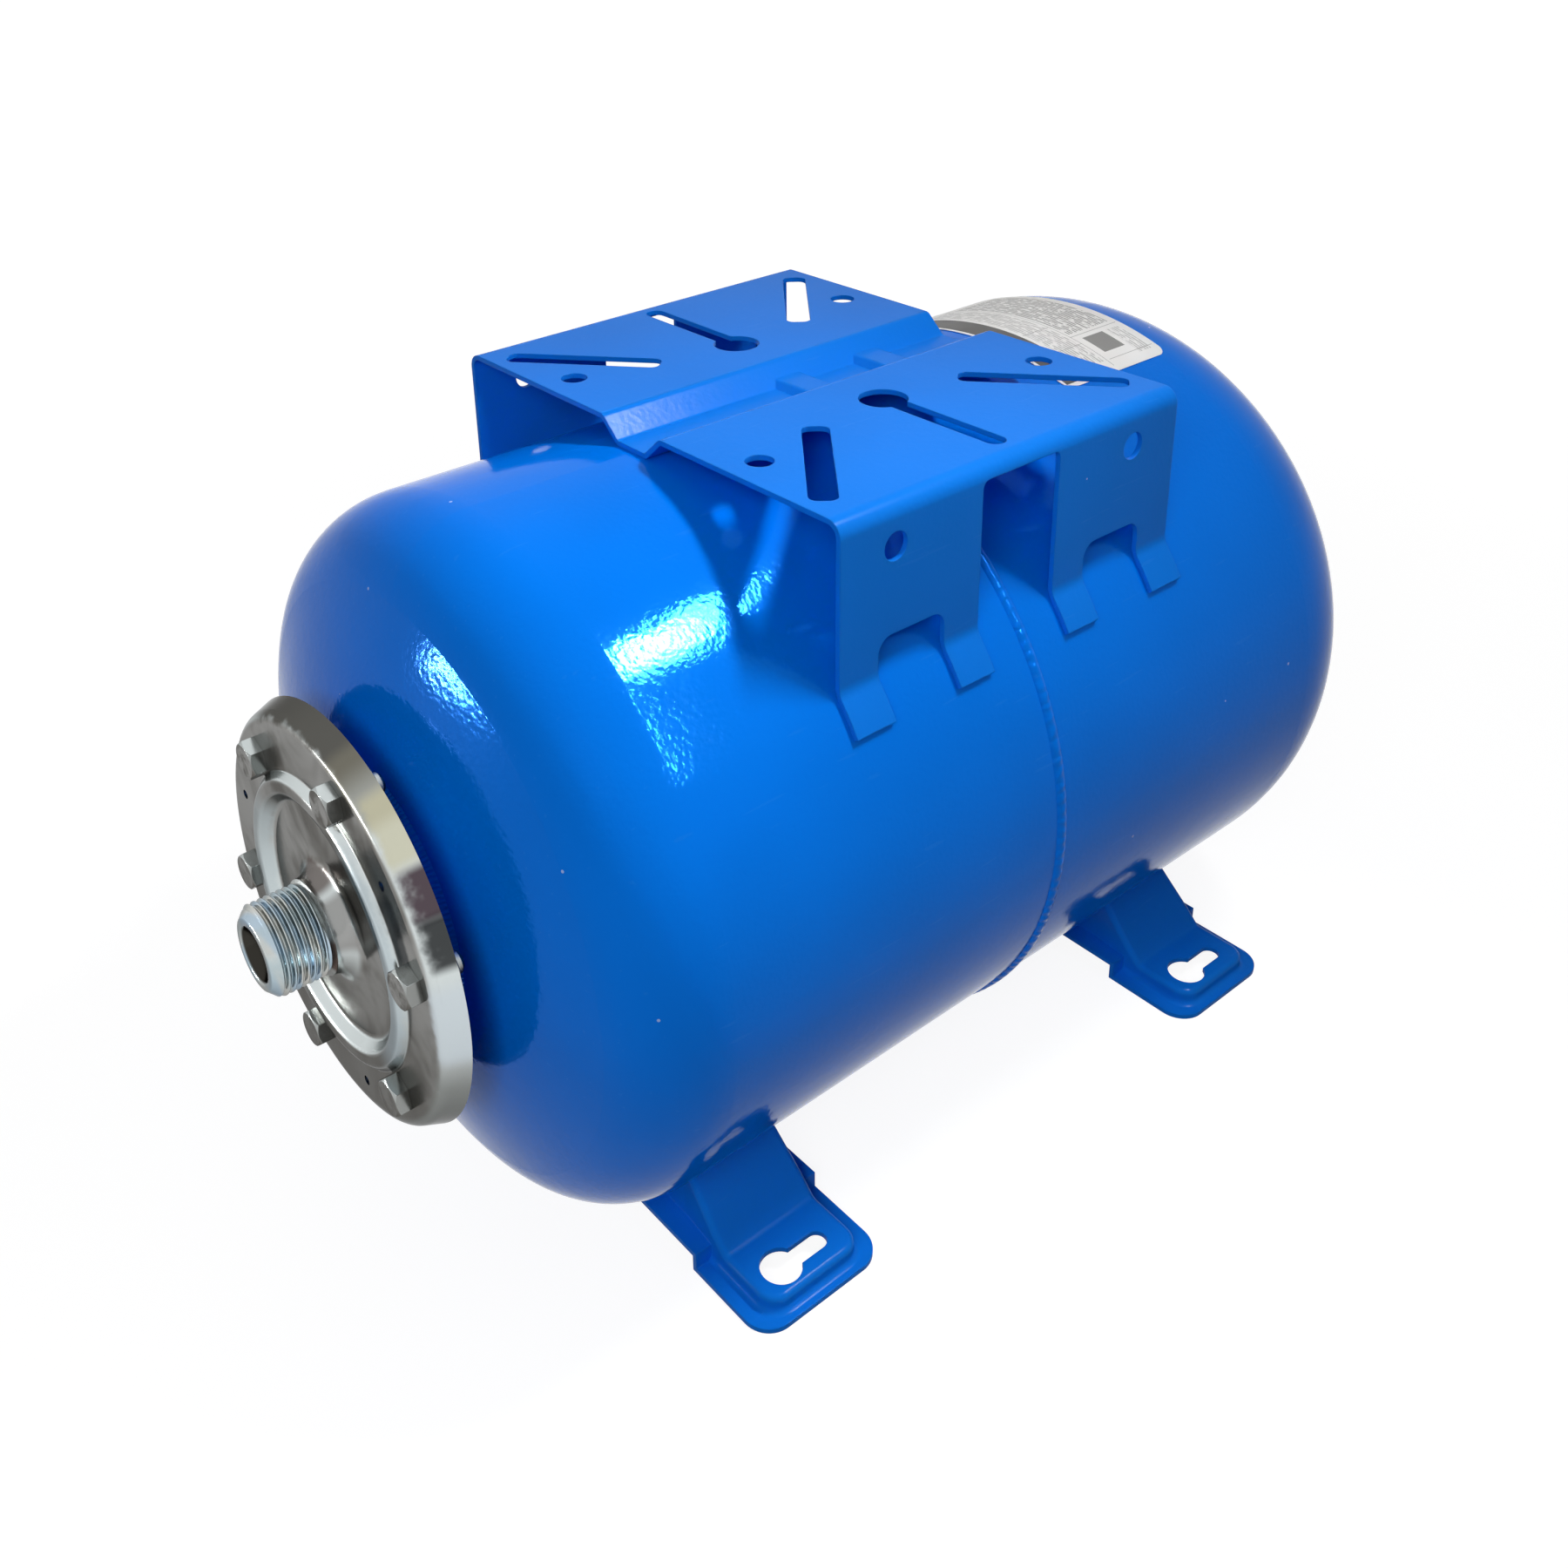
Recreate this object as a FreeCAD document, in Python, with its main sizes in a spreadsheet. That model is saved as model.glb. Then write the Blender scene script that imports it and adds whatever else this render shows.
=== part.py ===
import FreeCAD, Part
import os

import Sketcher
from FreeCAD import Vector

# Horizontal well pressure tank with pump platform. Millimetres. +X runs from the inlet
# to the air valve, +Z is up, the origin lies on the floor below the middle of the length.

# Each size can be changed by itself; lengths in millimetres, angles in degrees.
SIZES = {
    # tank
    "tank_radius": 135.0, "ground_clearance": 9.0, "feet_offset": 4.0, "shell_wall": 1.2,
    "front_straight": 152.0, "front_knuckle": 36.0, "front_crown": 330.0,
    "rear_straight": 155.0, "rear_knuckle": 64.5, "rear_crown": 318.0, "joggle_length": 9.0,
    "joggle_run": 4.0, "weld_width": 5.0, "weld_height": 1.3,
    # tank flange
    "flange_reach": 220.0, "ring_bore": 47.0, "ring_radius": 68.0, "ring_thickness": 5.0,
    "neck_wall": 3.5, "neck_depth": 3.0, "neck_weld_leg": 3.0,
    # counter flange
    "disc_sheet": 2.5, "land_radius": 74.5, "rim_radius": 78.2, "rim_depth": 9.5,
    "rim_fold": 2.5, "ring_rise": 3.0, "ring_foot": 54.8, "ring_outer": 52.0,
    "ring_inner": 47.5, "disc_edge": 43.5, "disc_sink": 1.5, "ring_round": 2.8, "foot_round": 1.2,
    "hub_round": 7.0,
    "small_hole": 3.6, "small_hole_circle": 63.8, "small_hole_angle": 72.0,
    # inlet
    "thread_diameter": 33.25, "bore_diameter": 19.4, "nose_diameter": 26.0, "nose_length": 3.5,
    "inlet_reach": 250.0, "spigot_diameter": 30.0, "nipple_weld_leg": 1.2, "thread_relief": 0.6,
    "relief_depth": 1.0,
    # fasteners
    "bolt_circle": 124.0, "bolt_angle": 42.0, "bolt_diameter": 8.0, "bolt_length": 17.5,
    "head_flats": 13.0, "head_height": 5.3, "nut_height": 6.5, "hole_clearance": 0.5,
    "hex_chamfer": 0.9, "bolt_point": 1.2,
    # bladder
    "bladder_wall": 2.0, "lip_radius": 50.8, "bladder_radius": 104.0, "bladder_front": 118.0,
    "bladder_rear": 140.0, "bladder_knuckle": 40.0, "bladder_crown": 200.0,
    "lip_clearance": 0.2,
    # platform
    "sheet": 2.0, "plate_length": 169.0, "plate_half": 108.3, "valley_half": 8.0,
    "slope_half": 16.7, "valley_depth": 8.0, "bend_inside": 1.5, "fold_inside": 4.0,
    "tab_bend": 9.0, "tab_angle": 58.8, "gap_width": 39.0, "gap_drop": 5.5, "gap_corner": 3.0,
    "arch_centre": 51.6, "arch_width": 31.0, "arch_drop": 47.4, "arch_corner": 6.0,
    "leg_hole": 10.4, "leg_hole_x": 60.0, "leg_hole_drop": 15.6,
    # platform holes
    "plate_hole": 10.2, "plate_hole_x": 70.8, "plate_hole_y": 54.5, "slot_width": 10.0,
    "slot_corner": 3.4, "slot_in_x": 36.4, "slot_in_y": 44.6, "slot_out_x": 76.6,
    "slot_out_y": 92.4, "key_round": 18.4, "key_y": 41.7, "key_slot": 8.0, "key_end": 99.2,
    # valley ribs
    "rib_width": 12.0, "rib_height": 2.8, "rib_pitch": 41.5, "rib_seat": 1.0,
    "rib_inside": 10.2, "rib_round": 1.5,
    # feet
    "front_foot_x": 116.8, "rear_foot_x": 121.4, "bracket_sheet": 2.0, "foot_half": 29.2,
    "rim_inner": 93.5, "rim_outer": 133.6, "rim_corner": 11.0, "saddle_half": 78.5, "pad_half": 22.0,
    "pad_end": 129.2, "pad_corner": 8.0, "web_half_top": 20.5, "pad_round": 2.5,
    "rim_round": 2.5, "web_round": 3.0, "foot_key_round": 15.6, "foot_key_y": 118.6,
    "foot_key_x": 8.6, "foot_key_slot": 7.8,
    # air valve
    "stem_radius": 6.2, "stem_base": 9.0, "stem_base_height": 3.0, "stem_reach": 24.0,
    "stem_tip": 3.85, "stem_tip_length": 11.0, "stem_bore": 2.6, "core_length": 9.0,
    "core_bore": 0.9, "core_seat": 2.0, "spring_room": 1.9, "pin_radius": 0.8, "pin_head": 1.8,
    "pin_knob": 1.0, "pin_head_height": 1.2, "pin_sink": 1.0, "spring_wire": 0.35,
    "spring_radius": 1.4, "cap_radius": 5.6, "cap_length": 12.0, "cap_roof": 2.0,
    "cap_clearance": 0.15, "cover_radius": 20.0, "cover_height": 28.5, "cover_wall": 1.8,
    "cover_round": 6.0,
    # label
    "label_gauge": 0.15, "label_lift": 0.2, "label_front": 95.5, "label_rear": 159.5,
    "label_angle": 21.8, "label_corner": 5.0,
}

doc = FreeCAD.newDocument("well_pressure_tank")
sheet = doc.addObject("Spreadsheet::Sheet", "Sizes")
for row, (alias, value) in enumerate(SIZES.items(), 1):
    sheet.set(f"A{row}", alias)
    sheet.set(f"B{row}", str(value))
    sheet.setAlias(f"B{row}", alias)
doc.recompute()

# Places that follow from the sizes, written once as expressions.
AXIS_Z = "(Sizes.tank_radius + Sizes.ground_clearance)"
TANK_X = "(-Sizes.feet_offset)"
LAND_X = "(-(Sizes.flange_reach + Sizes.disc_sheet))"
RING_BACK = "(-(Sizes.flange_reach - Sizes.ring_thickness))"


def number(expression):
    """The value of an expression as a plain float."""
    found = sheet.evalExpression(expression)
    return float(found.Value if hasattr(found, "Value") else found)


def origin_plane(body, role):
    return next(f for f in body.Origin.OriginFeatures if f.Role == role)


def new_body(label, x="0", z="0"):
    body = doc.addObject("PartDesign::Body", label)
    body.Label = label
    body.setExpression(".Placement.Base.x", x)
    body.setExpression(".Placement.Base.z", z)
    return body


def new_sketch(body, name, role, offset="0"):
    """A sketch on one of the body's origin planes, moved along the plane's normal."""
    sketch = body.newObject("Sketcher::SketchObject", name)
    sketch.AttachmentSupport = (origin_plane(body, role), [""])
    sketch.MapMode = "FlatFace"
    sketch.setExpression(".AttachmentOffset.Base.z", offset)
    return sketch


def pin(sketch, geometry, end, x, y):
    """Ties one end of a sketch line or arc to a place given by two expressions."""
    for kind, expression in (("DistanceX", x), ("DistanceY", y)):
        index = sketch.addConstraint(
            Sketcher.Constraint(kind, -1, 1, geometry, end, number(expression)))
        sketch.setExpression(f"Constraints[{index}]", expression)


def draw_outline(sketch, corners):
    """Closes an outline through corners (x, y) or (x, y, radius, centre_x, centre_y).

    The longer form bends the side from that corner to the next one into an arc; its
    centre only tells on which side the arc lies.
    """
    places = [Vector(number(c[0]), number(c[1]), 0) for c in corners]
    first = len(sketch.Geometry)
    count = len(corners)
    for i, corner in enumerate(corners):
        start, end = places[i], places[(i + 1) % count]
        if len(corner) == 2:
            sketch.addGeometry(Part.LineSegment(start, end))
            continue
        centre = Vector(number(corner[3]), number(corner[4]), 0)
        radius = number(corner[2])
        middle = centre + ((start + end) * 0.5 - centre).normalize() * radius
        sketch.addGeometry(Part.Arc(start, middle, end))
    for i, corner in enumerate(corners):
        here, after = first + i, first + (i + 1) % count
        ends = start_and_end(sketch, here, places[i])
        next_start = start_and_end(sketch, after, places[(i + 1) % count])[0]
        sketch.addConstraint(Sketcher.Constraint("Coincident", here, ends[1], after, next_start))
    for i, corner in enumerate(corners):
        here = first + i
        pin(sketch, here, start_and_end(sketch, here, places[i])[0], corner[0], corner[1])
        if len(corner) > 2:
            index = sketch.addConstraint(
                Sketcher.Constraint("Radius", here, number(corner[2])))
            sketch.setExpression(f"Constraints[{index}]", corner[2])


def start_and_end(sketch, geometry, start):
    """Vertex numbers of a piece, the one at the given start first: arcs may run backwards."""
    first = sketch.getPoint(geometry, 1)
    return (1, 2) if first.distanceToPoint(start) < 1e-6 else (2, 1)


def draw_circle(sketch, x, y, diameter):
    centre = Vector(number(x), number(y), 0)
    index = sketch.addGeometry(Part.Circle(centre, Vector(0, 0, 1), number(diameter) / 2))
    pin(sketch, index, 3, x, y)
    bound = sketch.addConstraint(Sketcher.Constraint("Diameter", index, number(diameter)))
    sketch.setExpression(f"Constraints[{bound}]", diameter)


def draw_box(sketch, x0, x1, y0, y1):
    draw_outline(sketch, [(x0, y0), (x1, y0), (x1, y1), (x0, y1)])


def add_feature(body, kind, name, sketch, **settings):
    feature = body.newObject(kind, name)
    feature.Profile = sketch
    for key, setting in settings.items():
        if isinstance(setting, str) and key in ("Length", "Angle"):
            feature.setExpression(key, setting)
        else:
            setattr(feature, key, setting)
    sketch.Visibility = False
    doc.recompute()
    return feature


def revolve(body, sketch, name="turned"):
    return add_feature(body, "PartDesign::Revolution", name, sketch,
                       ReferenceAxis=(sketch, ["H_Axis"]), Angle=360)


def turned_body(label, corners, x=TANK_X, z=AXIS_Z):
    """A body turned about the tank's axis; corners give places along and off the axis."""
    body = new_body(label, x, z)
    sketch = new_sketch(body, f"{label}_section", "XZ_Plane")
    draw_outline(sketch, corners)
    revolve(body, sketch)
    return body


def edges_where(feature, wanted):
    """Names of the feature's edges for which wanted(edge) holds."""
    return [f"Edge{i + 1}" for i, e in enumerate(feature.Shape.Edges) if wanted(e)]


def round_edges(body, name, wanted, radius):
    doc.recompute()
    base = body.Tip
    names = edges_where(base, wanted)
    if not names:
        raise RuntimeError(f"{name}: no edge found")
    fillet = body.newObject("PartDesign::Fillet", name)
    fillet.Base = (base, names)
    fillet.setExpression("Radius", radius)
    doc.recompute()
    return fillet


def polar(body, features, name, count):
    """Repeats features about the tank's axis."""
    pattern = body.newObject("PartDesign::PolarPattern", name)
    pattern.Originals = features
    pattern.Axis = (next(f for f in body.Origin.OriginFeatures if f.Role == "X_Axis"), [""])
    pattern.Angle = 360
    pattern.Occurrences = count
    body.Tip = pattern
    doc.recompute()
    return pattern


class Head:
    """Places on a dished end: straight wall, knuckle arc and crown arc, for one skin.

    side is "-" for the inlet end and "" for the valve end; inset moves the skin inwards.
    """

    def __init__(self, side, radius, straight, knuckle, crown, inset="0"):
        self.knuckle = f"({knuckle} - {inset})"
        self.crown = f"({crown} - {inset})"
        self.rise = f"sqrt(({crown} - {knuckle})^2 - ({radius} - {knuckle})^2)"
        self.centre = f"{side}({straight} - {self.rise})"
        self.start = f"{side}({straight})", f"({radius} - {inset})"
        self.knuckle_centre = f"{side}({straight})", f"({radius} - {knuckle})"
        share = f"{self.knuckle} / ({crown} - {knuckle})"
        self.meet = (f"{side}({straight} + {self.rise} * {share})",
                     f"(({radius} - {knuckle}) * (1 + {share}))")
        self.side = side

    def reach(self, radius):
        """How far along the axis the crown lies at a radius."""
        return f"({self.centre} {self.side or '+'} sqrt({self.crown}^2 - ({radius})^2))"

    def outwards(self, radius):
        """Corners from the straight wall to the crown at a radius."""
        return [(*self.start, self.knuckle, *self.knuckle_centre),
                (*self.meet, self.crown, self.centre, "0"),
                (self.reach(radius), f"({radius})")]

    def inwards(self, radius):
        """The same corners the other way round."""
        return [(self.reach(radius), f"({radius})", self.crown, self.centre, "0"),
                (*self.meet, self.knuckle, *self.knuckle_centre),
                self.start]


FRONT = ("-", "Sizes.tank_radius", "Sizes.front_straight", "Sizes.front_knuckle",
         "Sizes.front_crown")
REAR = ("", "Sizes.tank_radius", "Sizes.rear_straight", "Sizes.rear_knuckle",
        "Sizes.rear_crown")
NECK_RADIUS = "(Sizes.ring_bore + Sizes.neck_wall)"
front_skin, front_inside = Head(*FRONT), Head(*FRONT, "Sizes.shell_wall")
rear_skin, rear_inside = Head(*REAR), Head(*REAR, "Sizes.shell_wall")
CREST_X = f"({LAND_X} - Sizes.ring_rise)"
DISC_X = f"({LAND_X} + Sizes.disc_sink)"
HUB_RADIUS = "(Sizes.spigot_diameter / 2 + Sizes.disc_sheet)"
SHANK = "(Sizes.thread_diameter / 2 - Sizes.relief_depth)"
HUB_X = f"({DISC_X} - Sizes.hub_round)"


def half_turn(along, across):
    """Tangent of half the turn from the radial direction to the direction given."""
    return f"((sqrt(({along})^2 + ({across})^2) - ({across})) / ({along}))"


INNER_SLOPE = half_turn("(Sizes.ring_rise + Sizes.disc_sink)",
                        "(Sizes.ring_inner - Sizes.disc_edge)")
INNER_TURN = f"(Sizes.disc_sheet * {INNER_SLOPE})"


def at_circle(feature, x, radius):
    """Edge names of the feature's circles at a place along the axis and a radius."""
    def wanted(edge):
        curve = edge.Curve
        return (isinstance(curve, Part.Circle) and abs(curve.Radius - number(radius)) < 0.01
                and abs(curve.Center.x - number(x)) < 0.01
                and Vector(0, curve.Center.y, curve.Center.z).Length < 0.01)
    return edges_where(feature, wanted)


def round_circles(body, name, places, radius):
    """Fillets the circles at the places (x, radius) of a turned body."""
    doc.recompute()
    base = body.Tip
    fillet = body.newObject("PartDesign::Fillet", name)
    fillet.Base = (base, [n for place in places for n in at_circle(base, *place)])
    fillet.setExpression("Radius", radius)
    doc.recompute()


def around(circle_radius, angle):
    """Place across the axis at an angle from the top, positive towards +Y."""
    return f"({circle_radius}) * sin({angle})", f"({circle_radius}) * cos({angle})"


def drill_ring(body, name, x, circle_radius, angle, diameter, depth, count):
    """Round holes along the axis on a circle, cut forwards from a plane at x."""
    sketch = new_sketch(body, f"{name}_place", "YZ_Plane", x)
    draw_circle(sketch, *around(circle_radius, angle), diameter)
    hole = add_feature(body, "PartDesign::Pocket", name, sketch, Length=depth)
    polar(body, [hole], f"{name}_ring", count)


def tank_front():
    wall = "Sizes.shell_wall"
    inner = f"(Sizes.tank_radius - {wall})"
    lap = f"(Sizes.tank_radius - 2 * {wall})"
    turned_body("front_shell", [
        ("0", inner), ("0", "Sizes.tank_radius"), *front_skin.outwards(NECK_RADIUS),
        *front_inside.inwards(NECK_RADIUS), ("-Sizes.joggle_run", inner), ("0", lap),
        ("Sizes.joggle_length", lap), ("Sizes.joggle_length", inner)])


def tank_rear():
    turned_body("rear_shell", [
        ("0", "(Sizes.tank_radius - Sizes.shell_wall)"), ("0", "Sizes.tank_radius"),
        *rear_skin.outwards("Sizes.stem_radius"), *rear_inside.inwards("Sizes.stem_radius")])


def weld_beads():
    half = "(Sizes.weld_width / 2)"
    bead = f"(({half}^2 + Sizes.weld_height^2) / (2 * Sizes.weld_height))"
    turned_body("girth_weld", [
        (f"-{half}", "Sizes.tank_radius", bead, "0",
         f"(Sizes.tank_radius + Sizes.weld_height - {bead})"),
        (half, "Sizes.tank_radius")])
    leg = "Sizes.neck_weld_leg"
    outer = f"({NECK_RADIUS} + {leg})"
    turned_body("neck_weld", [
        (f"({front_skin.reach(NECK_RADIUS)} - {leg})", NECK_RADIUS),
        (front_skin.reach(NECK_RADIUS), NECK_RADIUS, front_skin.crown, front_skin.centre, "0"),
        (front_skin.reach(outer), outer)])
    leg = "Sizes.nipple_weld_leg"
    turned_body("nipple_weld", [
        (f"({HUB_X} - {leg})", SHANK), (HUB_X, SHANK), (HUB_X, HUB_RADIUS),
        (f"({HUB_X} - {leg} / 4)", HUB_RADIUS)])


def tank_ring():
    """The tank's own flange: a turned ring with a neck that passes into the shell."""
    neck_end = (f"({front_skin.reach(NECK_RADIUS)} + Sizes.shell_wall + Sizes.neck_depth)")
    front = "(-Sizes.flange_reach)"
    body = turned_body("tank_flange", [
        (front, "Sizes.ring_bore"), (front, "Sizes.ring_radius"),
        (RING_BACK, "Sizes.ring_radius"), (RING_BACK, NECK_RADIUS), (neck_end, NECK_RADIUS),
        (neck_end, "Sizes.ring_bore")])
    drill_ring(body, "bolt_hole", RING_BACK, "Sizes.bolt_circle / 2", "Sizes.bolt_angle",
               "(Sizes.bolt_diameter + Sizes.hole_clearance)", "2 * Sizes.ring_thickness", 6)


def pressed_disc():
    """The zinc plated disc: hub, sunk middle, raised ring, bolt land and turned-back rim."""
    gauge = "Sizes.disc_sheet"
    outer_turn = (f"({gauge} * "
                  f"{half_turn('Sizes.ring_rise', '(Sizes.ring_foot - Sizes.ring_outer)')})")
    flare = "(Sizes.rim_radius - Sizes.land_radius)"
    rim_turn = f"({gauge} * {half_turn('Sizes.rim_depth', flare)})"
    rim_length = f"sqrt(Sizes.rim_depth^2 + {flare}^2)"
    rim_x = f"({LAND_X} + Sizes.rim_depth)"
    hub_foot = f"({HUB_RADIUS} + Sizes.hub_round)"
    body = turned_body("counter_flange", [
        (HUB_X, "(Sizes.spigot_diameter / 2)"),
        (HUB_X, HUB_RADIUS, "Sizes.hub_round", HUB_X, hub_foot),
        (DISC_X, hub_foot), (DISC_X, "Sizes.disc_edge"), (CREST_X, "Sizes.ring_inner"),
        (CREST_X, "Sizes.ring_outer"), (LAND_X, "Sizes.ring_foot"),
        (LAND_X, "Sizes.land_radius"), (rim_x, "Sizes.rim_radius"),
        (f"({rim_x} + {gauge} * {flare} / {rim_length})",
         f"(Sizes.rim_radius - {gauge} * Sizes.rim_depth / {rim_length})"),
        (f"({LAND_X} + {gauge})", f"(Sizes.land_radius - {rim_turn})"),
        (f"({LAND_X} + {gauge})", f"(Sizes.ring_foot - {outer_turn})"),
        (f"({CREST_X} + {gauge})", f"(Sizes.ring_outer - {outer_turn})"),
        (f"({CREST_X} + {gauge})", f"(Sizes.ring_inner + {INNER_TURN})"),
        (f"({DISC_X} + {gauge})", f"(Sizes.disc_edge + {INNER_TURN})"),
        (f"({DISC_X} + {gauge})", hub_foot, f"(Sizes.hub_round + {gauge})", HUB_X, hub_foot)])
    round_circles(body, "rim_fold_outside", [(LAND_X, "Sizes.land_radius")],
                  f"(Sizes.rim_fold + {gauge})")
    round_circles(body, "rim_fold_inside",
                  [(f"({LAND_X} + {gauge})", f"(Sizes.land_radius - {rim_turn})")],
                  "Sizes.rim_fold")
    round_circles(body, "ring_foot", [(LAND_X, "Sizes.ring_foot")], "Sizes.foot_round")
    round_circles(body, "ring_edges", [
        (CREST_X, "Sizes.ring_outer"), (CREST_X, "Sizes.ring_inner"),
        (DISC_X, "Sizes.disc_edge")], "Sizes.ring_round")
    drill_ring(body, "bolt_hole", f"({LAND_X} + 2 * {gauge})", "Sizes.bolt_circle / 2",
               "Sizes.bolt_angle", "(Sizes.bolt_diameter + Sizes.hole_clearance)",
               f"4 * {gauge}", 6)
    drill_ring(body, "small_hole", f"({LAND_X} + 2 * {gauge})", "Sizes.small_hole_circle",
               "Sizes.small_hole_angle", "Sizes.small_hole", f"4 * {gauge}", 3)


def inlet():
    """The male connection; its thread, at the full diameter, ends short of the weld."""
    nose = "(-Sizes.inlet_reach)"
    thread = "(Sizes.thread_diameter / 2)"
    bore = "(Sizes.bore_diameter / 2)"
    spigot = "(Sizes.spigot_diameter / 2)"
    inside = f"({DISC_X} + Sizes.disc_sheet)"
    thread_end = f"({HUB_X} - Sizes.nipple_weld_leg - Sizes.thread_relief)"
    turned_body("inlet_nipple", [
        (nose, bore), (nose, "(Sizes.nose_diameter / 2)"),
        (f"({nose} + Sizes.nose_length)", thread), (thread_end, thread), (thread_end, SHANK),
        (HUB_X, SHANK), (HUB_X, spigot),
        (inside, spigot), (inside, bore)])


def hexagon(sketch, z, flats):
    """A hexagon across flats, centred above the axis, with a flat towards the axis."""
    corner = f"({flats} / sqrt(3))"
    upper, lower = f"({z} + {flats} / 2)", f"({z} - {flats} / 2)"
    draw_outline(sketch, [
        (corner, z), (f"({corner} / 2)", upper), (f"(-{corner} / 2)", upper),
        (f"(-{corner})", z), (f"(-{corner} / 2)", lower), (f"({corner} / 2)", lower)])


def cone_cut(body, name, x, side, inner, outer, drop):
    """Cuts the first fastener's end at x down to a cone, from inner to outer radius."""
    z = "Sizes.bolt_circle / 2"
    clear = f"({z} + {outer} + {drop})"
    sketch = new_sketch(body, f"{name}_section", "XZ_Plane")
    draw_outline(sketch, [
        (x, f"({z} + {inner})"), (x, clear), (f"({x} {side} 2 * {drop})", clear),
        (f"({x} {side} {drop})", f"({z} + {outer})")])
    axis = sketch.addGeometry(
        Part.LineSegment(Vector(0, number(z), 0), Vector(number(drop), number(z), 0)), True)
    pin(sketch, axis, 1, "0", z)
    pin(sketch, axis, 2, drop, z)
    groove = body.newObject("PartDesign::Groove", name)
    groove.Profile = sketch
    groove.ReferenceAxis = (sketch, ["Axis0"])
    groove.Angle = 360
    doc.recompute()
    return groove


def hexagon_cone(body, name, x, side):
    """Turns the corners of a hexagon's end down to a cone."""
    drop = "Sizes.hex_chamfer"
    return cone_cut(body, name, x, side, f"(Sizes.head_flats / 2 - {drop} / 4)",
                    "(Sizes.head_flats / sqrt(3))", drop)


def fastener_body(label):
    """A body turned about the tank's axis to the first bolt, which then lies above it."""
    body = new_body(label, TANK_X, AXIS_Z)
    body.AllowCompound = True
    body.Placement.Rotation = FreeCAD.Rotation(Vector(1, 0, 0), 1)
    body.setExpression(".Placement.Rotation.Angle", "-Sizes.bolt_angle")
    return body


def bolts():
    body = fastener_body("flange_bolts")
    z = "Sizes.bolt_circle / 2"
    head_sketch = new_sketch(body, "head_outline", "YZ_Plane", LAND_X)
    hexagon(head_sketch, z, "Sizes.head_flats")
    head = add_feature(body, "PartDesign::Pad", "head", head_sketch,
                       Length="Sizes.head_height", Reversed=True)
    cone = hexagon_cone(body, "head_cone", f"({LAND_X} - Sizes.head_height)", "+")
    shank_sketch = new_sketch(body, "shank_outline", "YZ_Plane", LAND_X)
    draw_circle(shank_sketch, "0", z, "Sizes.bolt_diameter")
    shank = add_feature(body, "PartDesign::Pad", "shank", shank_sketch,
                        Length="Sizes.bolt_length")
    radius, point = "(Sizes.bolt_diameter / 2)", "Sizes.bolt_point"
    tip = cone_cut(body, "tip_cone", f"({LAND_X} + Sizes.bolt_length)", "-",
                   f"({radius} - {point})", radius, point)
    polar(body, [head, cone, shank, tip], "bolt_ring", 6)


def nuts():
    body = fastener_body("flange_nuts")
    z = "Sizes.bolt_circle / 2"
    outline = new_sketch(body, "nut_outline", "YZ_Plane", RING_BACK)
    hexagon(outline, z, "Sizes.head_flats")
    draw_circle(outline, "0", z, "Sizes.bolt_diameter")
    nut = add_feature(body, "PartDesign::Pad", "nut", outline, Length="Sizes.nut_height")
    cone = hexagon_cone(body, "nut_cone", f"({RING_BACK} + Sizes.nut_height)", "-")
    polar(body, [nut, cone], "nut_ring", 6)


def membrane():
    """The bladder: a lip clamped under the disc, a neck through the ring and a bag."""
    wall = "Sizes.bladder_wall"
    neck = "(Sizes.ring_bore - Sizes.lip_clearance)"
    bag_front = ("-", "Sizes.bladder_radius", "Sizes.bladder_front", "Sizes.bladder_knuckle",
                 "Sizes.bladder_crown")
    bag_rear = ("", *bag_front[1:2], "Sizes.bladder_rear", *bag_front[3:])
    lip_front = f"({CREST_X} + Sizes.disc_sheet)"
    ring_front = "(-Sizes.flange_reach)"
    lip_foot = f"({neck} - {wall})"
    lip_start = f"(Sizes.ring_inner + {INNER_TURN} + Sizes.lip_clearance)"
    front_out, front_in = Head(*bag_front), Head(*bag_front, wall)
    rear_out, rear_in = Head(*bag_rear), Head(*bag_rear, wall)
    turned_body("bladder", [
        (lip_front, lip_start), (lip_front, "Sizes.lip_radius"),
        (ring_front, "Sizes.lip_radius"), (ring_front, neck),
        *front_out.inwards(neck), *rear_out.outwards("0"),
        *rear_in.inwards("0"), *front_in.outwards(lip_foot),
        (f"({DISC_X} + Sizes.disc_sheet)", lip_foot)])


PLATE_Z = "(Sizes.tank_radius + Sizes.sheet + Sizes.valley_depth)"
LEG_INSIDE = "(Sizes.plate_half - Sizes.sheet)"
TAB_CENTRE_Y = f"({LEG_INSIDE} + Sizes.tab_bend)"
TAB_CENTRE_Z = f"sqrt((Sizes.tank_radius + Sizes.tab_bend)^2 - {TAB_CENTRE_Y}^2)"
TAB_START = f"asin({TAB_CENTRE_Y} / (Sizes.tank_radius + Sizes.tab_bend))"
SHELL_OVER = "(Sizes.tank_radius + Sizes.sheet)"
VALLEY_TURN = half_turn("Sizes.valley_depth", "(Sizes.slope_half - Sizes.valley_half)")


def on_circle(radius, angle):
    """Place (y, z) on a circle about the tank's axis, the angle taken from the top."""
    return f"({radius} * sin({angle}))", f"({radius} * cos({angle}))"


def along(direction, places, feature):
    """Names of straight edges in a direction that pass a place given across it."""
    across = [i for i in range(3) if abs(direction[i]) < 0.5]
    targets = [tuple(number(value) for value in place) for place in places]

    def wanted(edge):
        if not isinstance(edge.Curve, Part.Line):
            return False
        if abs(abs(edge.tangentAt(edge.FirstParameter).dot(direction)) - 1) > 1e-6:
            return False
        middle = edge.CenterOfMass
        return any(all(abs(abs(middle[i]) - value) < 0.01 for i, value in zip(across, target))
                   for target in targets)
    return edges_where(feature, wanted)


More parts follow.
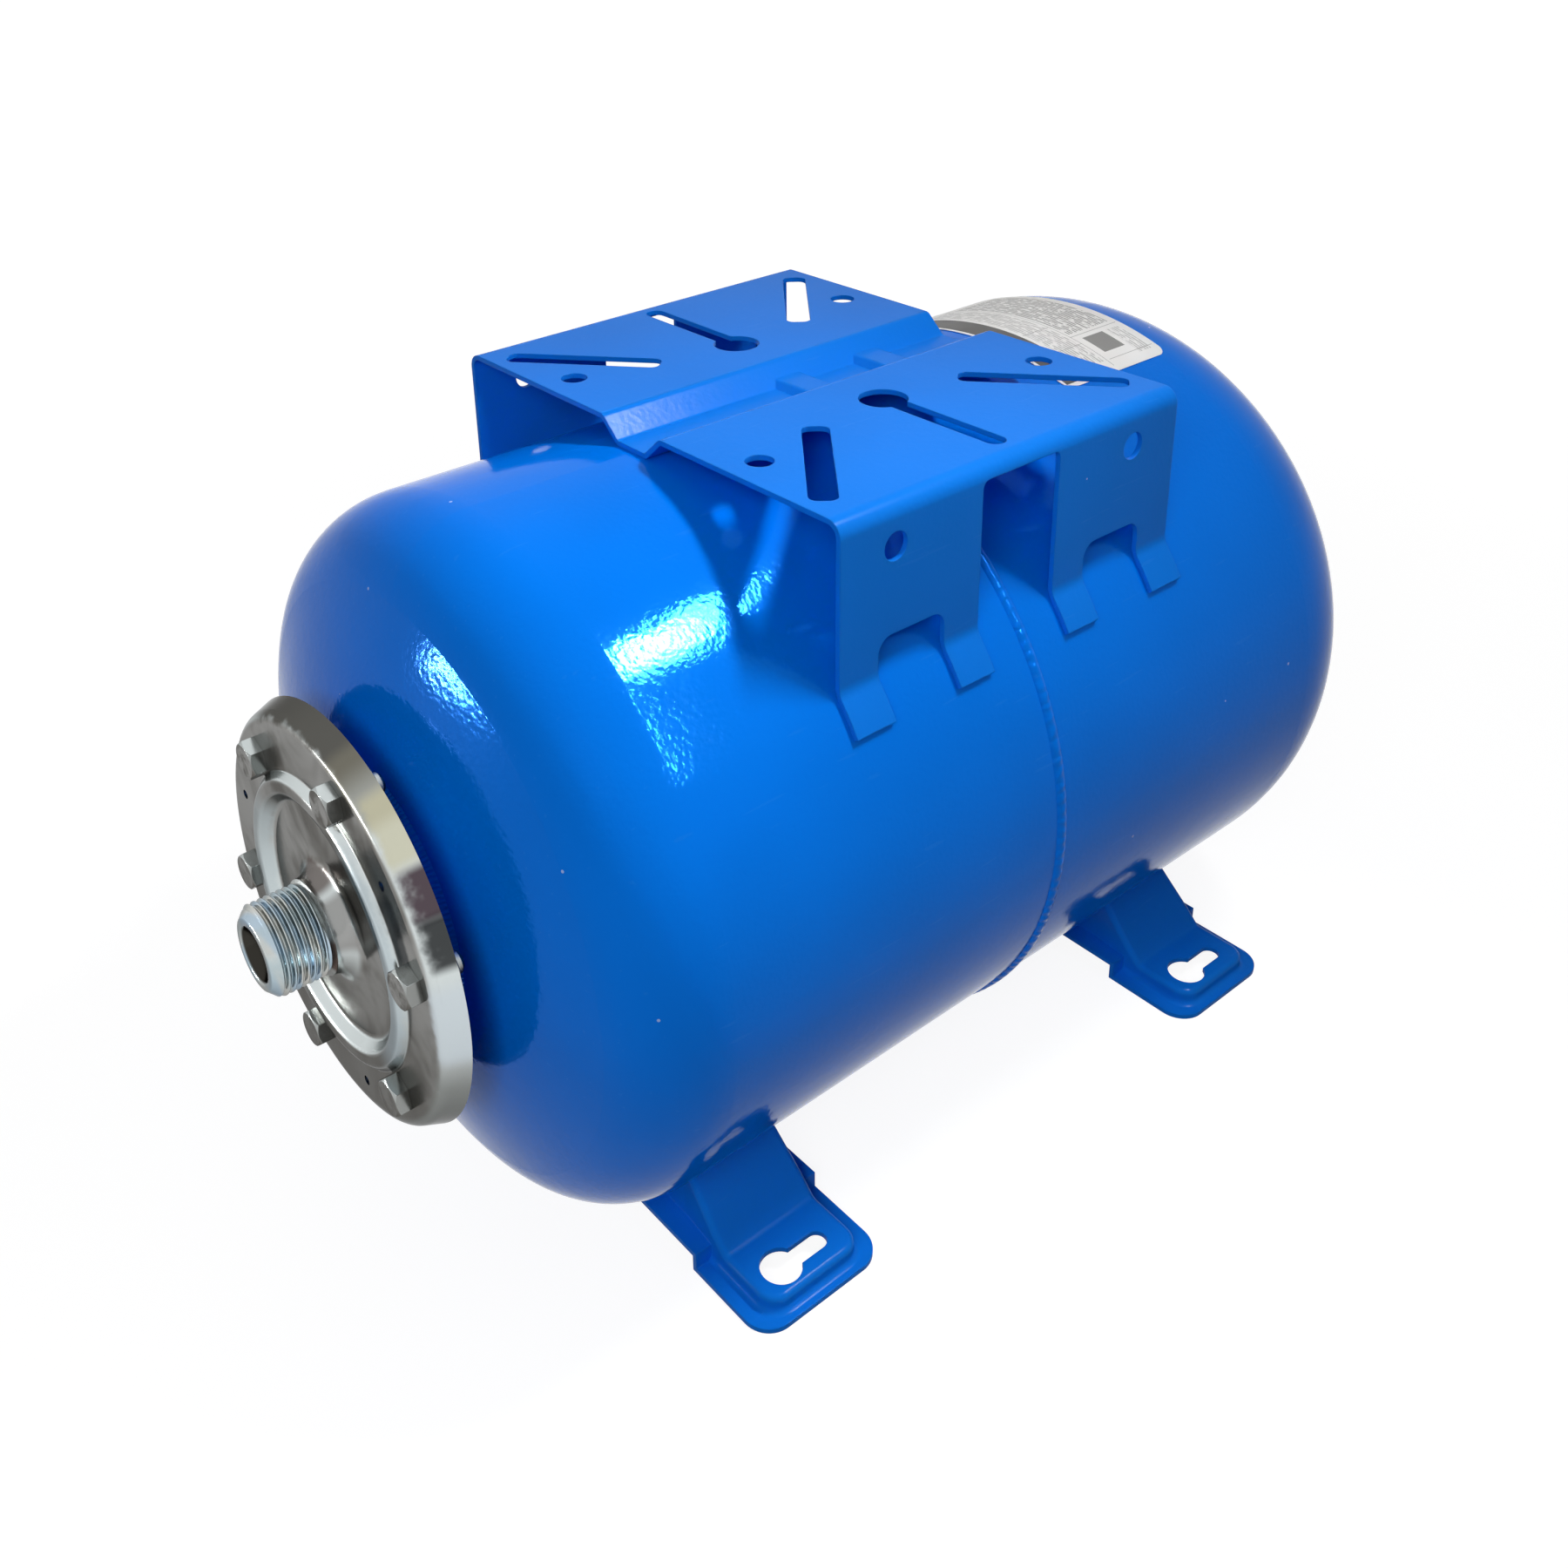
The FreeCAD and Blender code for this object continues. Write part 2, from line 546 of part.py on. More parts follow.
def round_along(body, name, direction, places, radius):
    """Fillets straight edges at the places and at their mirror images."""
    doc.recompute()
    base = body.Tip
    names = along(direction, places, base)
    if not names:
        raise RuntimeError(f"{name}: no edge found")
    fillet = body.newObject("PartDesign::Fillet", name)
    fillet.Base = (base, names)
    fillet.setExpression("Radius", radius)
    doc.recompute()


def mirror(body, features, name, role):
    """Repeats features on the other side of an origin plane."""
    copy = body.newObject("PartDesign::Mirrored", name)
    copy.Originals = features
    copy.MirrorPlane = (origin_plane(body, role), [""])
    body.Tip = copy
    doc.recompute()


def platform_section(sketch):
    """The bent sheet seen along the tank: valley, plates, legs and tabs on the shell."""
    underside = f"({PLATE_Z} - Sizes.sheet)"
    shift = f"(Sizes.sheet * {VALLEY_TURN})"
    tip_out = on_circle(SHELL_OVER, "Sizes.tab_angle")
    tip_in = on_circle("Sizes.tank_radius", "Sizes.tab_angle")
    bend_out = on_circle(SHELL_OVER, TAB_START)
    bend_in = on_circle("Sizes.tank_radius", TAB_START)

    def left(place):
        return f"(-{place[0]})", place[1]
    tab_centre = (TAB_CENTRE_Y, TAB_CENTRE_Z)
    draw_outline(sketch, [
        ("Sizes.plate_half", PLATE_Z),
        ("Sizes.plate_half", TAB_CENTRE_Z, "(Sizes.tab_bend - Sizes.sheet)", *tab_centre),
        (*bend_out, SHELL_OVER, "0", "0"), tip_out,
        (*tip_in, "Sizes.tank_radius", "0", "0"),
        (*bend_in, "Sizes.tab_bend", *tab_centre),
        (LEG_INSIDE, TAB_CENTRE_Z), (LEG_INSIDE, underside),
        (f"(Sizes.slope_half + {shift})", underside),
        (f"(Sizes.valley_half + {shift})", "Sizes.tank_radius"),
        (f"(-(Sizes.valley_half + {shift}))", "Sizes.tank_radius"),
        (f"(-(Sizes.slope_half + {shift}))", underside),
        (f"(-{LEG_INSIDE})", underside),
        (f"(-{LEG_INSIDE})", TAB_CENTRE_Z, "Sizes.tab_bend", *left(tab_centre)),
        (*left(bend_in), "Sizes.tank_radius", "0", "0"), left(tip_in),
        (*left(tip_out), SHELL_OVER, "0", "0"),
        (*left(bend_out), "(Sizes.tab_bend - Sizes.sheet)", *left(tab_centre)),
        ("(-Sizes.plate_half)", TAB_CENTRE_Z), ("(-Sizes.plate_half)", PLATE_Z),
        ("(-Sizes.slope_half)", PLATE_Z), ("(-Sizes.valley_half)", SHELL_OVER),
        ("Sizes.valley_half", SHELL_OVER), ("Sizes.slope_half", PLATE_Z)])


def rib(body, name, x):
    """A hollow hump pressed across the valley; the first one bridges the girth weld."""
    lean = "(Sizes.slope_half - Sizes.valley_half) / Sizes.valley_depth"

    def layer(label, height, half_x, half_y):
        sketch = new_sketch(body, f"{name}_{label}", "XY_Plane", height)
        draw_box(sketch, f"({x} - {half_x})", f"({x} + {half_x})", f"(-{half_y})", half_y)
        return sketch
    seat = "Sizes.rib_seat"
    half_top = "(Sizes.rib_width / 2)"
    ridge = f"({SHELL_OVER} + Sizes.rib_height)"
    hump = body.newObject("PartDesign::AdditiveLoft", f"{name}_hump")
    hump.Profile = layer("foot", f"({SHELL_OVER} - {seat})",
                         f"({half_top} + Sizes.rib_height + {seat})",
                         f"(Sizes.valley_half + {seat} - {seat} * {lean})")
    hump.Sections = [layer("top", ridge, half_top,
                           f"(Sizes.valley_half + {seat} + Sizes.rib_height * {lean})")]
    hump.Ruled = True
    round_along(body, f"{name}_ridges", Vector(0, 1, 0),
                [(f"({x} - {half_top})", ridge), (f"({x} + {half_top})", ridge)],
                "Sizes.rib_round")
    narrow = f"({half_top} - Sizes.sheet * {half_turn('1', '1')})"
    hollow = body.newObject("PartDesign::SubtractiveLoft", f"{name}_hollow")
    hollow.Profile = layer("below", f"(Sizes.tank_radius - {seat})",
                           f"({narrow} + Sizes.rib_height + {seat})", "Sizes.rib_inside")
    hollow.Sections = [layer("roof", "(Sizes.tank_radius + Sizes.rib_height)", narrow,
                             "Sizes.rib_inside")]
    hollow.Ruled = True
    doc.recompute()


def slot_corners(sign_x):
    """The four corners of a slanted slot in the near plates, on one side of the middle."""
    span_x = "(Sizes.slot_out_x - Sizes.slot_in_x)"
    span_y = "(Sizes.slot_out_y - Sizes.slot_in_y)"
    half = f"(Sizes.slot_width / 2 / sqrt({span_x}^2 + {span_y}^2))"
    return [(f"{sign_x}(Sizes.slot_{end}_x {side} {half} * {span_y})",
             f"(Sizes.slot_{end}_y {other} {half} * {span_x})")
            for end, side, other in (("in", "+", "-"), ("out", "+", "-"),
                                     ("out", "-", "+"), ("in", "-", "+"))]


def plate_cuts(body):
    """Round holes, slanted slots and keyholes through both plates."""
    through = "2 * Sizes.sheet"

    def cut(name, draw):
        sketch = new_sketch(body, f"{name}_outline", "XY_Plane", PLATE_Z)
        draw(sketch)
        return add_feature(body, "PartDesign::Pocket", name, sketch, Length=through)

    def holes(sketch):
        for side in ("", "-"):
            draw_circle(sketch, f"({side}Sizes.plate_hole_x)", "Sizes.plate_hole_y",
                        "Sizes.plate_hole")

    def slots(sketch):
        for side in ("", "-"):
            draw_outline(sketch, slot_corners(side))

    def key_round(sketch):
        draw_circle(sketch, "0", "Sizes.key_y", "Sizes.key_round")

    def key_slot(sketch):
        half = "(Sizes.key_slot / 2)"
        end = f"(Sizes.key_end - {half})"
        draw_outline(sketch, [
            (f"(-{half})", "Sizes.key_y"), (half, "Sizes.key_y"),
            (half, end, half, "0", end), ("0", "Sizes.key_end", half, "0", end),
            (f"(-{half})", end)])
    cuts = [cut("round_holes", holes), cut("slanted_slots", slots),
            cut("key_rounds", key_round), cut("key_slots", key_slot)]
    mirror(body, cuts, "other_plate_cuts", "XZ_Plane")
    round_along(body, "slot_corners", Vector(0, 0, 1), slot_corners(""), "Sizes.slot_corner")


def leg_cuts(body):
    """The gap between the legs, the arch in each leg and the small round holes."""
    start = "(Sizes.tank_radius + Sizes.sheet)"
    depth = f"({start} - {LEG_INSIDE} + Sizes.fold_inside)"
    foot = "0"
    arch_top = f"({PLATE_Z} - Sizes.arch_drop)"
    gap_top = f"({PLATE_Z} - Sizes.gap_drop)"
    arch_in = "(Sizes.arch_centre - Sizes.arch_width / 2)"
    arch_out = "(Sizes.arch_centre + Sizes.arch_width / 2)"
    sketch = new_sketch(body, "leg_openings", "XZ_Plane", start)
    draw_box(sketch, "(-Sizes.gap_width / 2)", "(Sizes.gap_width / 2)", foot, gap_top)
    draw_box(sketch, arch_in, arch_out, foot, arch_top)
    draw_box(sketch, f"(-{arch_out})", f"(-{arch_in})", foot, arch_top)
    for side in ("", "-"):
        draw_circle(sketch, f"({side}Sizes.leg_hole_x)", f"({PLATE_Z} - Sizes.leg_hole_drop)",
                    "Sizes.leg_hole")
    cut = add_feature(body, "PartDesign::Pocket", "leg_cut", sketch, Length=depth)
    mirror(body, [cut], "other_leg_cut", "XZ_Plane")
    sideways = Vector(0, 1, 0)
    round_along(body, "arch_corners", sideways, [(arch_in, arch_top), (arch_out, arch_top)],
                "Sizes.arch_corner")
    round_along(body, "gap_corners", sideways, [("(Sizes.gap_width / 2)", gap_top)],
                "Sizes.gap_corner")


def platform():
    body = new_body("pump_platform", TANK_X, AXIS_Z)
    section = new_sketch(body, "bent_sheet", "YZ_Plane")
    platform_section(section)
    add_feature(body, "PartDesign::Pad", "bent_plate", section, Length="Sizes.plate_length",
                Midplane=True)
    lengthwise = Vector(1, 0, 0)
    under = f"({PLATE_Z} - Sizes.sheet)"
    shift = f"(Sizes.sheet * {VALLEY_TURN})"
    outside = "(Sizes.bend_inside + Sizes.sheet)"
    round_along(body, "fold_outside", lengthwise, [("Sizes.plate_half", PLATE_Z)],
                "(Sizes.fold_inside + Sizes.sheet)")
    round_along(body, "fold_inside", lengthwise, [(LEG_INSIDE, under)], "Sizes.fold_inside")
    round_along(body, "bends_outside", lengthwise,
                [("Sizes.slope_half", PLATE_Z),
                 (f"(Sizes.valley_half + {shift})", "Sizes.tank_radius")], outside)
    round_along(body, "bends_inside", lengthwise,
                [(f"(Sizes.slope_half + {shift})", under),
                 ("Sizes.valley_half", SHELL_OVER)], "Sizes.bend_inside")
    rib(body, "weld_rib", "0")
    rib(body, "second_rib", "Sizes.rib_pitch")
    plate_cuts(body)
    leg_cuts(body)


def label_sheet():
    """The wrapped label on the valve half; it runs a little way onto the knuckle."""
    body = new_body("data_label", TANK_X, AXIS_Z)
    sketch = new_sketch(body, "label_section", "XZ_Plane")
    knuckle = "Sizes.rear_knuckle"
    centre = ("Sizes.rear_straight", f"(Sizes.tank_radius - {knuckle})")
    turn = f"asin((Sizes.label_rear - Sizes.rear_straight) / {knuckle})"
    lower = f"({knuckle} + Sizes.label_lift)"
    upper = f"({lower} + Sizes.label_gauge)"

    def places(radius):
        level = f"({centre[1]} + {radius})"
        rear = (f"(Sizes.rear_straight + {radius} * sin({turn}))",
                f"({centre[1]} + {radius} * cos({turn}))")
        return ("Sizes.label_front", level), ("Sizes.rear_straight", level), rear
    front, edge, rear = places(upper)
    front_low, edge_low, rear_low = places(lower)
    draw_outline(sketch, [front_low, front, (*edge, upper, *centre), rear,
                          (*rear_low, lower, *centre), edge_low])
    add_feature(body, "PartDesign::Revolution", "wrapped", sketch,
                ReferenceAxis=(sketch, ["H_Axis"]), Angle="2 * Sizes.label_angle",
                Midplane=True)
    top = "(Sizes.tank_radius + 1)"
    edges = new_sketch(body, "label_outline", "XY_Plane", top)
    half = "(Sizes.tank_radius * sin(Sizes.label_angle))"
    corner = "Sizes.label_corner"
    front = "Sizes.label_front"
    rear = "Sizes.label_rear"
    draw_box(edges, f"({front} - 1)", f"({rear} + 1)", f"(-{half} - 1)", f"({half} + 1)")
    arcs = []
    for x, step, y, turn in ((rear, "-", f"(-{half})", "+"), (rear, "-", half, "-"),
                             (front, "+", half, "-"), (front, "+", f"(-{half})", "+")):
        centre = f"({x} {step} {corner})", f"({y} {turn} {corner})"
        ends = [(centre[0], y), (x, centre[1])]
        if (x == rear) != (y == f"(-{half})"):
            ends.reverse()
        arcs += [(*ends[0], corner, *centre), ends[1]]
    draw_outline(edges, arcs)
    add_feature(body, "PartDesign::Pocket", "label_corners", edges,
                Length="Sizes.tank_radius / 2")


APEX = rear_skin.reach("0")
STEM_TIP = f"({APEX} + Sizes.stem_reach)"


def air_valve():
    """Stem, core, pin and caps in the middle of the rear head."""
    shoulder = f"({STEM_TIP} - Sizes.stem_tip_length)"
    base = f"({APEX} + Sizes.stem_base_height)"
    inside = f"({APEX} - Sizes.stem_base_height)"
    turned_body("valve_stem", [
        (inside, "Sizes.stem_bore"), (inside, "Sizes.stem_radius"),
        (rear_skin.reach("Sizes.stem_radius"), "Sizes.stem_radius", rear_skin.crown,
         rear_skin.centre, "0"),
        (rear_skin.reach("Sizes.stem_base"), "Sizes.stem_base"), (base, "Sizes.stem_base"),
        (base, "Sizes.stem_radius"), (shoulder, "Sizes.stem_radius"),
        (shoulder, "Sizes.stem_tip"), (STEM_TIP, "Sizes.stem_tip"),
        (STEM_TIP, "Sizes.stem_bore")])
    core_front = f"({STEM_TIP} - Sizes.pin_sink)"
    core_rear = f"({core_front} - Sizes.core_length)"
    pocket = f"({core_rear} + Sizes.core_seat)"
    turned_body("valve_core", [
        (core_rear, "Sizes.core_bore"), (core_rear, "Sizes.stem_bore"),
        (core_front, "Sizes.stem_bore"), (core_front, "Sizes.spring_room"),
        (pocket, "Sizes.spring_room"), (pocket, "Sizes.core_bore")])
    knob = f"({core_front} - Sizes.pin_knob)"
    head = f"({core_rear} - Sizes.pin_head_height)"
    turned_body("valve_pin", [
        (head, "0"), (head, "Sizes.pin_head"), (core_rear, "Sizes.pin_head"),
        (core_rear, "Sizes.pin_radius"), (knob, "Sizes.pin_radius"),
        (knob, "Sizes.spring_room - Sizes.cap_clearance"),
        (core_front, "Sizes.spring_room - Sizes.cap_clearance"), (core_front, "0")])
    spring = new_body("valve_spring", TANK_X, AXIS_Z)
    wire = new_sketch(spring, "wire_section", "XZ_Plane")
    wire_half = "(Sizes.spring_wire / 2)"
    draw_circle(wire, f"({pocket} + {wire_half})", "Sizes.spring_radius", "Sizes.spring_wire")
    coil = spring.newObject("PartDesign::AdditiveHelix", "coil")
    coil.Profile = wire
    coil.ReferenceAxis = (wire, ["H_Axis"])
    coil.Mode = "height-turns-growth"
    coil.Turns = 4
    coil.setExpression("Height", f"({knob} - {pocket} - Sizes.spring_wire)")
    cap_front = f"({STEM_TIP} + Sizes.cap_roof)"
    cap_rear = f"({cap_front} - Sizes.cap_length)"
    turned_body("valve_cap", [
        (cap_rear, "Sizes.stem_tip"), (cap_rear, "Sizes.cap_radius"),
        (cap_front, "Sizes.cap_radius"), (cap_front, "0"), (STEM_TIP, "0"),
        (STEM_TIP, "Sizes.stem_tip")])
    top = f"({APEX} + Sizes.cover_height)"
    wall = "Sizes.cover_wall"
    rim_in = f"(Sizes.cover_radius - {wall})"
    boss = f"(Sizes.stem_base + {wall})"
    corner_x = f"({top} - Sizes.cover_round)"
    corner_r = "(Sizes.cover_radius - Sizes.cover_round)"
    inner_round = f"(Sizes.cover_round - {wall})"
    turned_body("valve_cover", [
        (rear_skin.reach("Sizes.cover_radius"), "Sizes.cover_radius"),
        (corner_x, "Sizes.cover_radius", "Sizes.cover_round", corner_x, corner_r),
        (top, corner_r), (top, "0"), (f"({top} - {wall})", "0"),
        (f"({top} - {wall})", "Sizes.stem_base"),
        (f"({base} - {wall})", "Sizes.stem_base"), (f"({base} - {wall})", boss),
        (f"({top} - {wall})", boss), (f"({top} - {wall})", corner_r, inner_round, corner_x,
                                      corner_r),
        (corner_x, rim_in),
        (rear_skin.reach(rim_in), rim_in, rear_skin.crown, rear_skin.centre, "0")])


RIM_TOP = "Sizes.bracket_sheet"
LIP_TOP = "Sizes.ground_clearance"
LIP_UNDER = f"({LIP_TOP} - Sizes.bracket_sheet)"
STEP_Y = "(Sizes.rim_inner + Sizes.bracket_sheet)"


def press_upper(inset):
    """Upper outline of the bracket seen along the tank; inset moves it inwards."""
    drop = f"({inset} * {half_turn('1', '1')})"
    saddle = f"(Sizes.tank_radius + {inset})"
    web_top = f"(Sizes.saddle_half - {drop})"
    web_z = f"({AXIS_Z} - sqrt({saddle}^2 - {web_top}^2))"
    top = f"({LIP_TOP} - {inset})"
    bend = f"(Sizes.saddle_half + {web_z} - {LIP_TOP} + {inset} - {drop})"
    pad = [(bend, top), (f"(Sizes.pad_end - {inset})", top)]
    arc = (web_top, web_z, saddle, "0", AXIS_Z)
    return pad[::-1] + [arc, (f"(-{web_top})", web_z)] + [(f"(-{y})", z) for y, z in pad]


def web_sides(body, name, z, half_top, half_pad, beyond):
    """Cuts the press away beside its tapered middle, upwards from a height."""
    sketch = new_sketch(body, f"{name}_outline", "XY_Plane", z)
    for sign in ("", "-"):
        draw_outline(sketch, [
            (f"({sign}{half_pad})", STEP_Y), (f"({sign}{beyond})", STEP_Y),
            (f"({sign}{beyond})", f"(-{STEP_Y})"), (f"({sign}{half_pad})", f"(-{STEP_Y})"),
            (f"({sign}{half_top})", "(-Sizes.saddle_half)"),
            (f"({sign}{half_top})", "Sizes.saddle_half")])
    add_feature(body, "PartDesign::Pocket", name, sketch, Length="Sizes.tank_radius",
                Reversed=True)


def bracket_press(label, x):
    """The bracket as a filled shape with its outer roundings."""
    body = new_body(f"{label}_press", x)
    section = new_sketch(body, "press_side", "YZ_Plane")
    rim = [("Sizes.rim_inner", LIP_UNDER), ("Sizes.rim_inner", "0"), ("Sizes.rim_outer", "0"),
           ("Sizes.rim_outer", RIM_TOP), ("Sizes.pad_end", RIM_TOP)]
    draw_outline(section, rim + press_upper("0") + [(f"(-{y})", z) for y, z in rim[::-1]])
    add_feature(body, "PartDesign::Pad", "press", section, Length="2 * Sizes.foot_half",
                Midplane=True)
    beyond = "(Sizes.foot_half + 1)"
    web_sides(body, "web_cut", LIP_TOP, "Sizes.web_half_top", "Sizes.pad_half", beyond)
    rim_sketch = new_sketch(body, "pad_sides", "XY_Plane", RIM_TOP)
    far = "(Sizes.rim_outer + 1)"
    for sign in ("", "-"):
        draw_box(rim_sketch, f"({sign}Sizes.pad_half)", f"({sign}{beyond})", STEP_Y, far)
        draw_box(rim_sketch, f"({sign}Sizes.pad_half)", f"({sign}{beyond})", f"(-{far})",
                 f"(-{STEP_Y})")
    add_feature(body, "PartDesign::Pocket", "pad_cut", rim_sketch,
                Length="Sizes.tank_radius", Reversed=True)
    upright = Vector(0, 0, 1)
    round_along(body, "rim_corners", upright, [("Sizes.foot_half", "Sizes.rim_outer")],
                "Sizes.rim_corner")
    round_along(body, "pad_corners", upright, [("Sizes.pad_half", "Sizes.pad_end")],
                "Sizes.pad_corner")
    bend_y = f"(Sizes.saddle_half + {AXIS_Z} - {SADDLE_DROP} - {LIP_TOP})"
    round_along(body, "web_bends", Vector(1, 0, 0), [(bend_y, LIP_TOP)], "Sizes.web_round")
    round_edges(body, "pad_edges", pad_edge, "Sizes.pad_round")
    round_edges(body, "pad_foot", pad_foot, "Sizes.rim_round")
    keyholes(body)
    return body


SADDLE_DROP = "sqrt(Sizes.tank_radius^2 - Sizes.saddle_half^2)"


def pad_edge(edge):
    """The pads' upper edges and the creases that run from them up to the saddle."""
    middle = edge.CenterOfMass
    outer = abs(middle.y) > number(STEP_Y) + 0.2
    if abs(middle.z - number(LIP_TOP)) < 0.01:
        inner_bend = abs(middle.x) < 0.01 and abs(middle.y) < number("Sizes.pad_end") - 0.1
        return outer and not inner_bend
    rising = abs(edge.tangentAt(edge.FirstParameter).z) > 0.1
    side = number("Sizes.web_half_top") + 0.5 < abs(middle.x) < number("Sizes.pad_half") + 0.1
    between = number("Sizes.saddle_half") < abs(middle.y)
    above = middle.z > number(LIP_TOP) + 0.01
    upright = abs(edge.tangentAt(edge.FirstParameter).z) > 0.999
    return rising and side and between and above and not upright


def pad_foot(edge):
    """The edges where a pad's walls stand on the rim."""
    middle = edge.CenterOfMass
    inside_x = abs(middle.x) < number("Sizes.pad_half") + 0.5
    inside_y = number(STEP_Y) + 0.01 < abs(middle.y) < number("Sizes.pad_end") + 0.5
    return abs(middle.z - number(RIM_TOP)) < 0.01 and inside_x and inside_y


def keyholes(body):
    """A keyhole through each pad, its slot pointing to the valve end."""
    through = "2 * Sizes.bracket_sheet"
    half = "(Sizes.foot_key_slot / 2)"
    end = "Sizes.foot_key_x"
    rounds = new_sketch(body, "key_round_outline", "XY_Plane", LIP_TOP)
    slots = new_sketch(body, "key_slot_outline", "XY_Plane", LIP_TOP)
    for side in ("", "-"):
        y = f"({side}Sizes.foot_key_y)"
        draw_circle(rounds, f"(-{end})", y, "Sizes.foot_key_round")
        draw_outline(slots, [
            (f"(-{end})", f"({y} - {half})"), (end, f"({y} - {half})", half, end, y),
            (f"({end} + {half})", y, half, end, y), (end, f"({y} + {half})"),
            (f"(-{end})", f"({y} + {half})")])
    add_feature(body, "PartDesign::Pocket", "key_rounds", rounds, Length=through)
    add_feature(body, "PartDesign::Pocket", "key_slots", slots, Length=through)


def bracket_hollow(label, x):
    """What is taken out from under the press to leave the sheet."""
    body = new_body(f"{label}_hollow", x)
    section = new_sketch(body, "hollow_side", "YZ_Plane")
    end = "(Sizes.pad_end - Sizes.bracket_sheet)"
    draw_outline(section, [(end, "(-1)"), *press_upper("Sizes.bracket_sheet"),
                           (f"(-{end})", "(-1)")])
    add_feature(body, "PartDesign::Pad", "hollow", section,
                Length="2 * (Sizes.pad_half - Sizes.bracket_sheet)", Midplane=True)
    web_sides(body, "hollow_taper", "(-2)", "(Sizes.web_half_top - Sizes.bracket_sheet)",
              "(Sizes.pad_half - Sizes.bracket_sheet)", "Sizes.foot_half")
    round_along(body, "hollow_corners", Vector(0, 0, 1),
                [("(Sizes.pad_half - Sizes.bracket_sheet)", end)],
                "(Sizes.pad_corner - Sizes.bracket_sheet)")
    return body


def feet():
    for label, x in (("front_foot_bracket", "(-Sizes.front_foot_x)"),
                     ("rear_foot_bracket", "Sizes.rear_foot_x")):
        bracket = doc.addObject("Part::Cut", label)
        bracket.Label = label
        bracket.Base = bracket_press(label, x)
        bracket.Tool = bracket_hollow(label, x)
        doc.recompute()


tank_front()
tank_rear()
weld_beads()
tank_ring()
pressed_disc()
inlet()
bolts()
nuts()
membrane()
platform()
feet()
air_valve()
label_sheet()
doc.recompute()

NODES = [
    "front_shell", "rear_shell", "girth_weld", "tank_flange", "neck_weld", "counter_flange",
    "inlet_nipple", "nipple_weld", "flange_bolts", "flange_nuts", "bladder",
    "pump_platform", "front_foot_bracket", "rear_foot_bracket", "valve_stem", "valve_core",
    "valve_pin", "valve_spring", "valve_cap", "valve_cover", "data_label"]

for item in doc.Objects:
    if "Invalid" in item.State or "Error" in item.State:
        raise RuntimeError(f"{item.Label}: {item.State}")

os.makedirs("parts", exist_ok=True)
for node in NODES:
    found = doc.getObjectsByLabel(node)[0]
    if found.Shape.isNull() or not found.Shape.isValid():
        raise RuntimeError(f"{node}: no valid shape")
    found.Shape.exportStep(f"parts/{node}.step")
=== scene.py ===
import math

import bmesh
import bpy
from bpy.props import FloatProperty, FloatVectorProperty, IntProperty, PointerProperty
from mathutils import Matrix, Vector


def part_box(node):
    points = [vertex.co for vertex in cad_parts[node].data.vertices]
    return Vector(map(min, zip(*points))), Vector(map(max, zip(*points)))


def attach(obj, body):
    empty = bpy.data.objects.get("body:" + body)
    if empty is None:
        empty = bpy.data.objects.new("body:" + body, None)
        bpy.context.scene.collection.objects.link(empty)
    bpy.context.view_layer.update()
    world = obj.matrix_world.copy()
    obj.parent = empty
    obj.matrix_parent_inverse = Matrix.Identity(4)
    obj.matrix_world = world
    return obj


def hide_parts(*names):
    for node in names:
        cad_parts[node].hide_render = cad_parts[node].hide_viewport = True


bl_info = {
    "name": "Well pressure tank",
    "version": (1, 0, 0),
    "blender": (4, 5, 0),
    "location": "3D View > Sidebar > Tank",
    "description": "Dresses a horizontal well pressure tank and sets its studio",
    "category": "Object",
}

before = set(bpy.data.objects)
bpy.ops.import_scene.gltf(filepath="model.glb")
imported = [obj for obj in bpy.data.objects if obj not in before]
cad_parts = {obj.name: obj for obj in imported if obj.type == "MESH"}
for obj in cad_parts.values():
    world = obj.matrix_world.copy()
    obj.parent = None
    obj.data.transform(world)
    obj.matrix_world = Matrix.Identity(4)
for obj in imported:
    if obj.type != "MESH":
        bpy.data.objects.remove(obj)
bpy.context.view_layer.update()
MM = 0.001
INLET_LOW, INLET_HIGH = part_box("inlet_nipple")
LABEL_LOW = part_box("data_label")[0]
SEAM_LOW, SEAM_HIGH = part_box("nipple_weld")
AXIS_HEIGHT = (INLET_LOW.z + INLET_HIGH.z) / 2
TANK_RADIUS = 135 * MM

# Tones of the finishes, as linear colour.
WHITE = (1, 1, 1, 1)
DUST = (0.55, 0.66, 0.88, 1)
RUBBED_BLUE = (0.05, 0.28, 0.85, 1)
DULL_ZINC = (0.22, 0.21, 0.19, 1)
THREAD_BLUE = (0.36, 0.49, 0.62, 1)
THREAD_STRAW = (0.58, 0.57, 0.53, 1)
THREAD_GREY = (0.33, 0.43, 0.47, 1)
# Painted shade inside the inlet's bore.
BORE_PAINTED_SHADE = (0.035, 0.033, 0.028, 1)
AGED_FILM = (0.86, 0.85, 0.83, 1)
FRESH_FILM = (0.93, 0.93, 0.92, 1)
FADED_PRINT = (0.09, 0.085, 0.08, 1)
LABEL_INK = (0.022, 0.020, 0.018, 1)
RUBBER, RUBBER_BLOOM = (0.018, 0.018, 0.019, 1), (0.05, 0.05, 0.05, 1)
PLASTIC, PLASTIC_SMEAR = (0.018, 0.018, 0.02, 1), (0.035, 0.035, 0.037, 1)
PALE_FLOOR = (0.18, 0.18, 0.18, 1)

# Reflection levels: thin enamel, label film, and the dull edge-on look of plating.
ENAMEL_SPECULAR = 0.022
FILM_SPECULAR = 0.15
PLATED_EDGE = (0.5, 0.5, 0.5, 1)
# Radii of edges that only the shading rounds, under paint and under plating.
PAINTED_EDGE = 0.7 * MM
PLATED_CORNER = 0.4 * MM
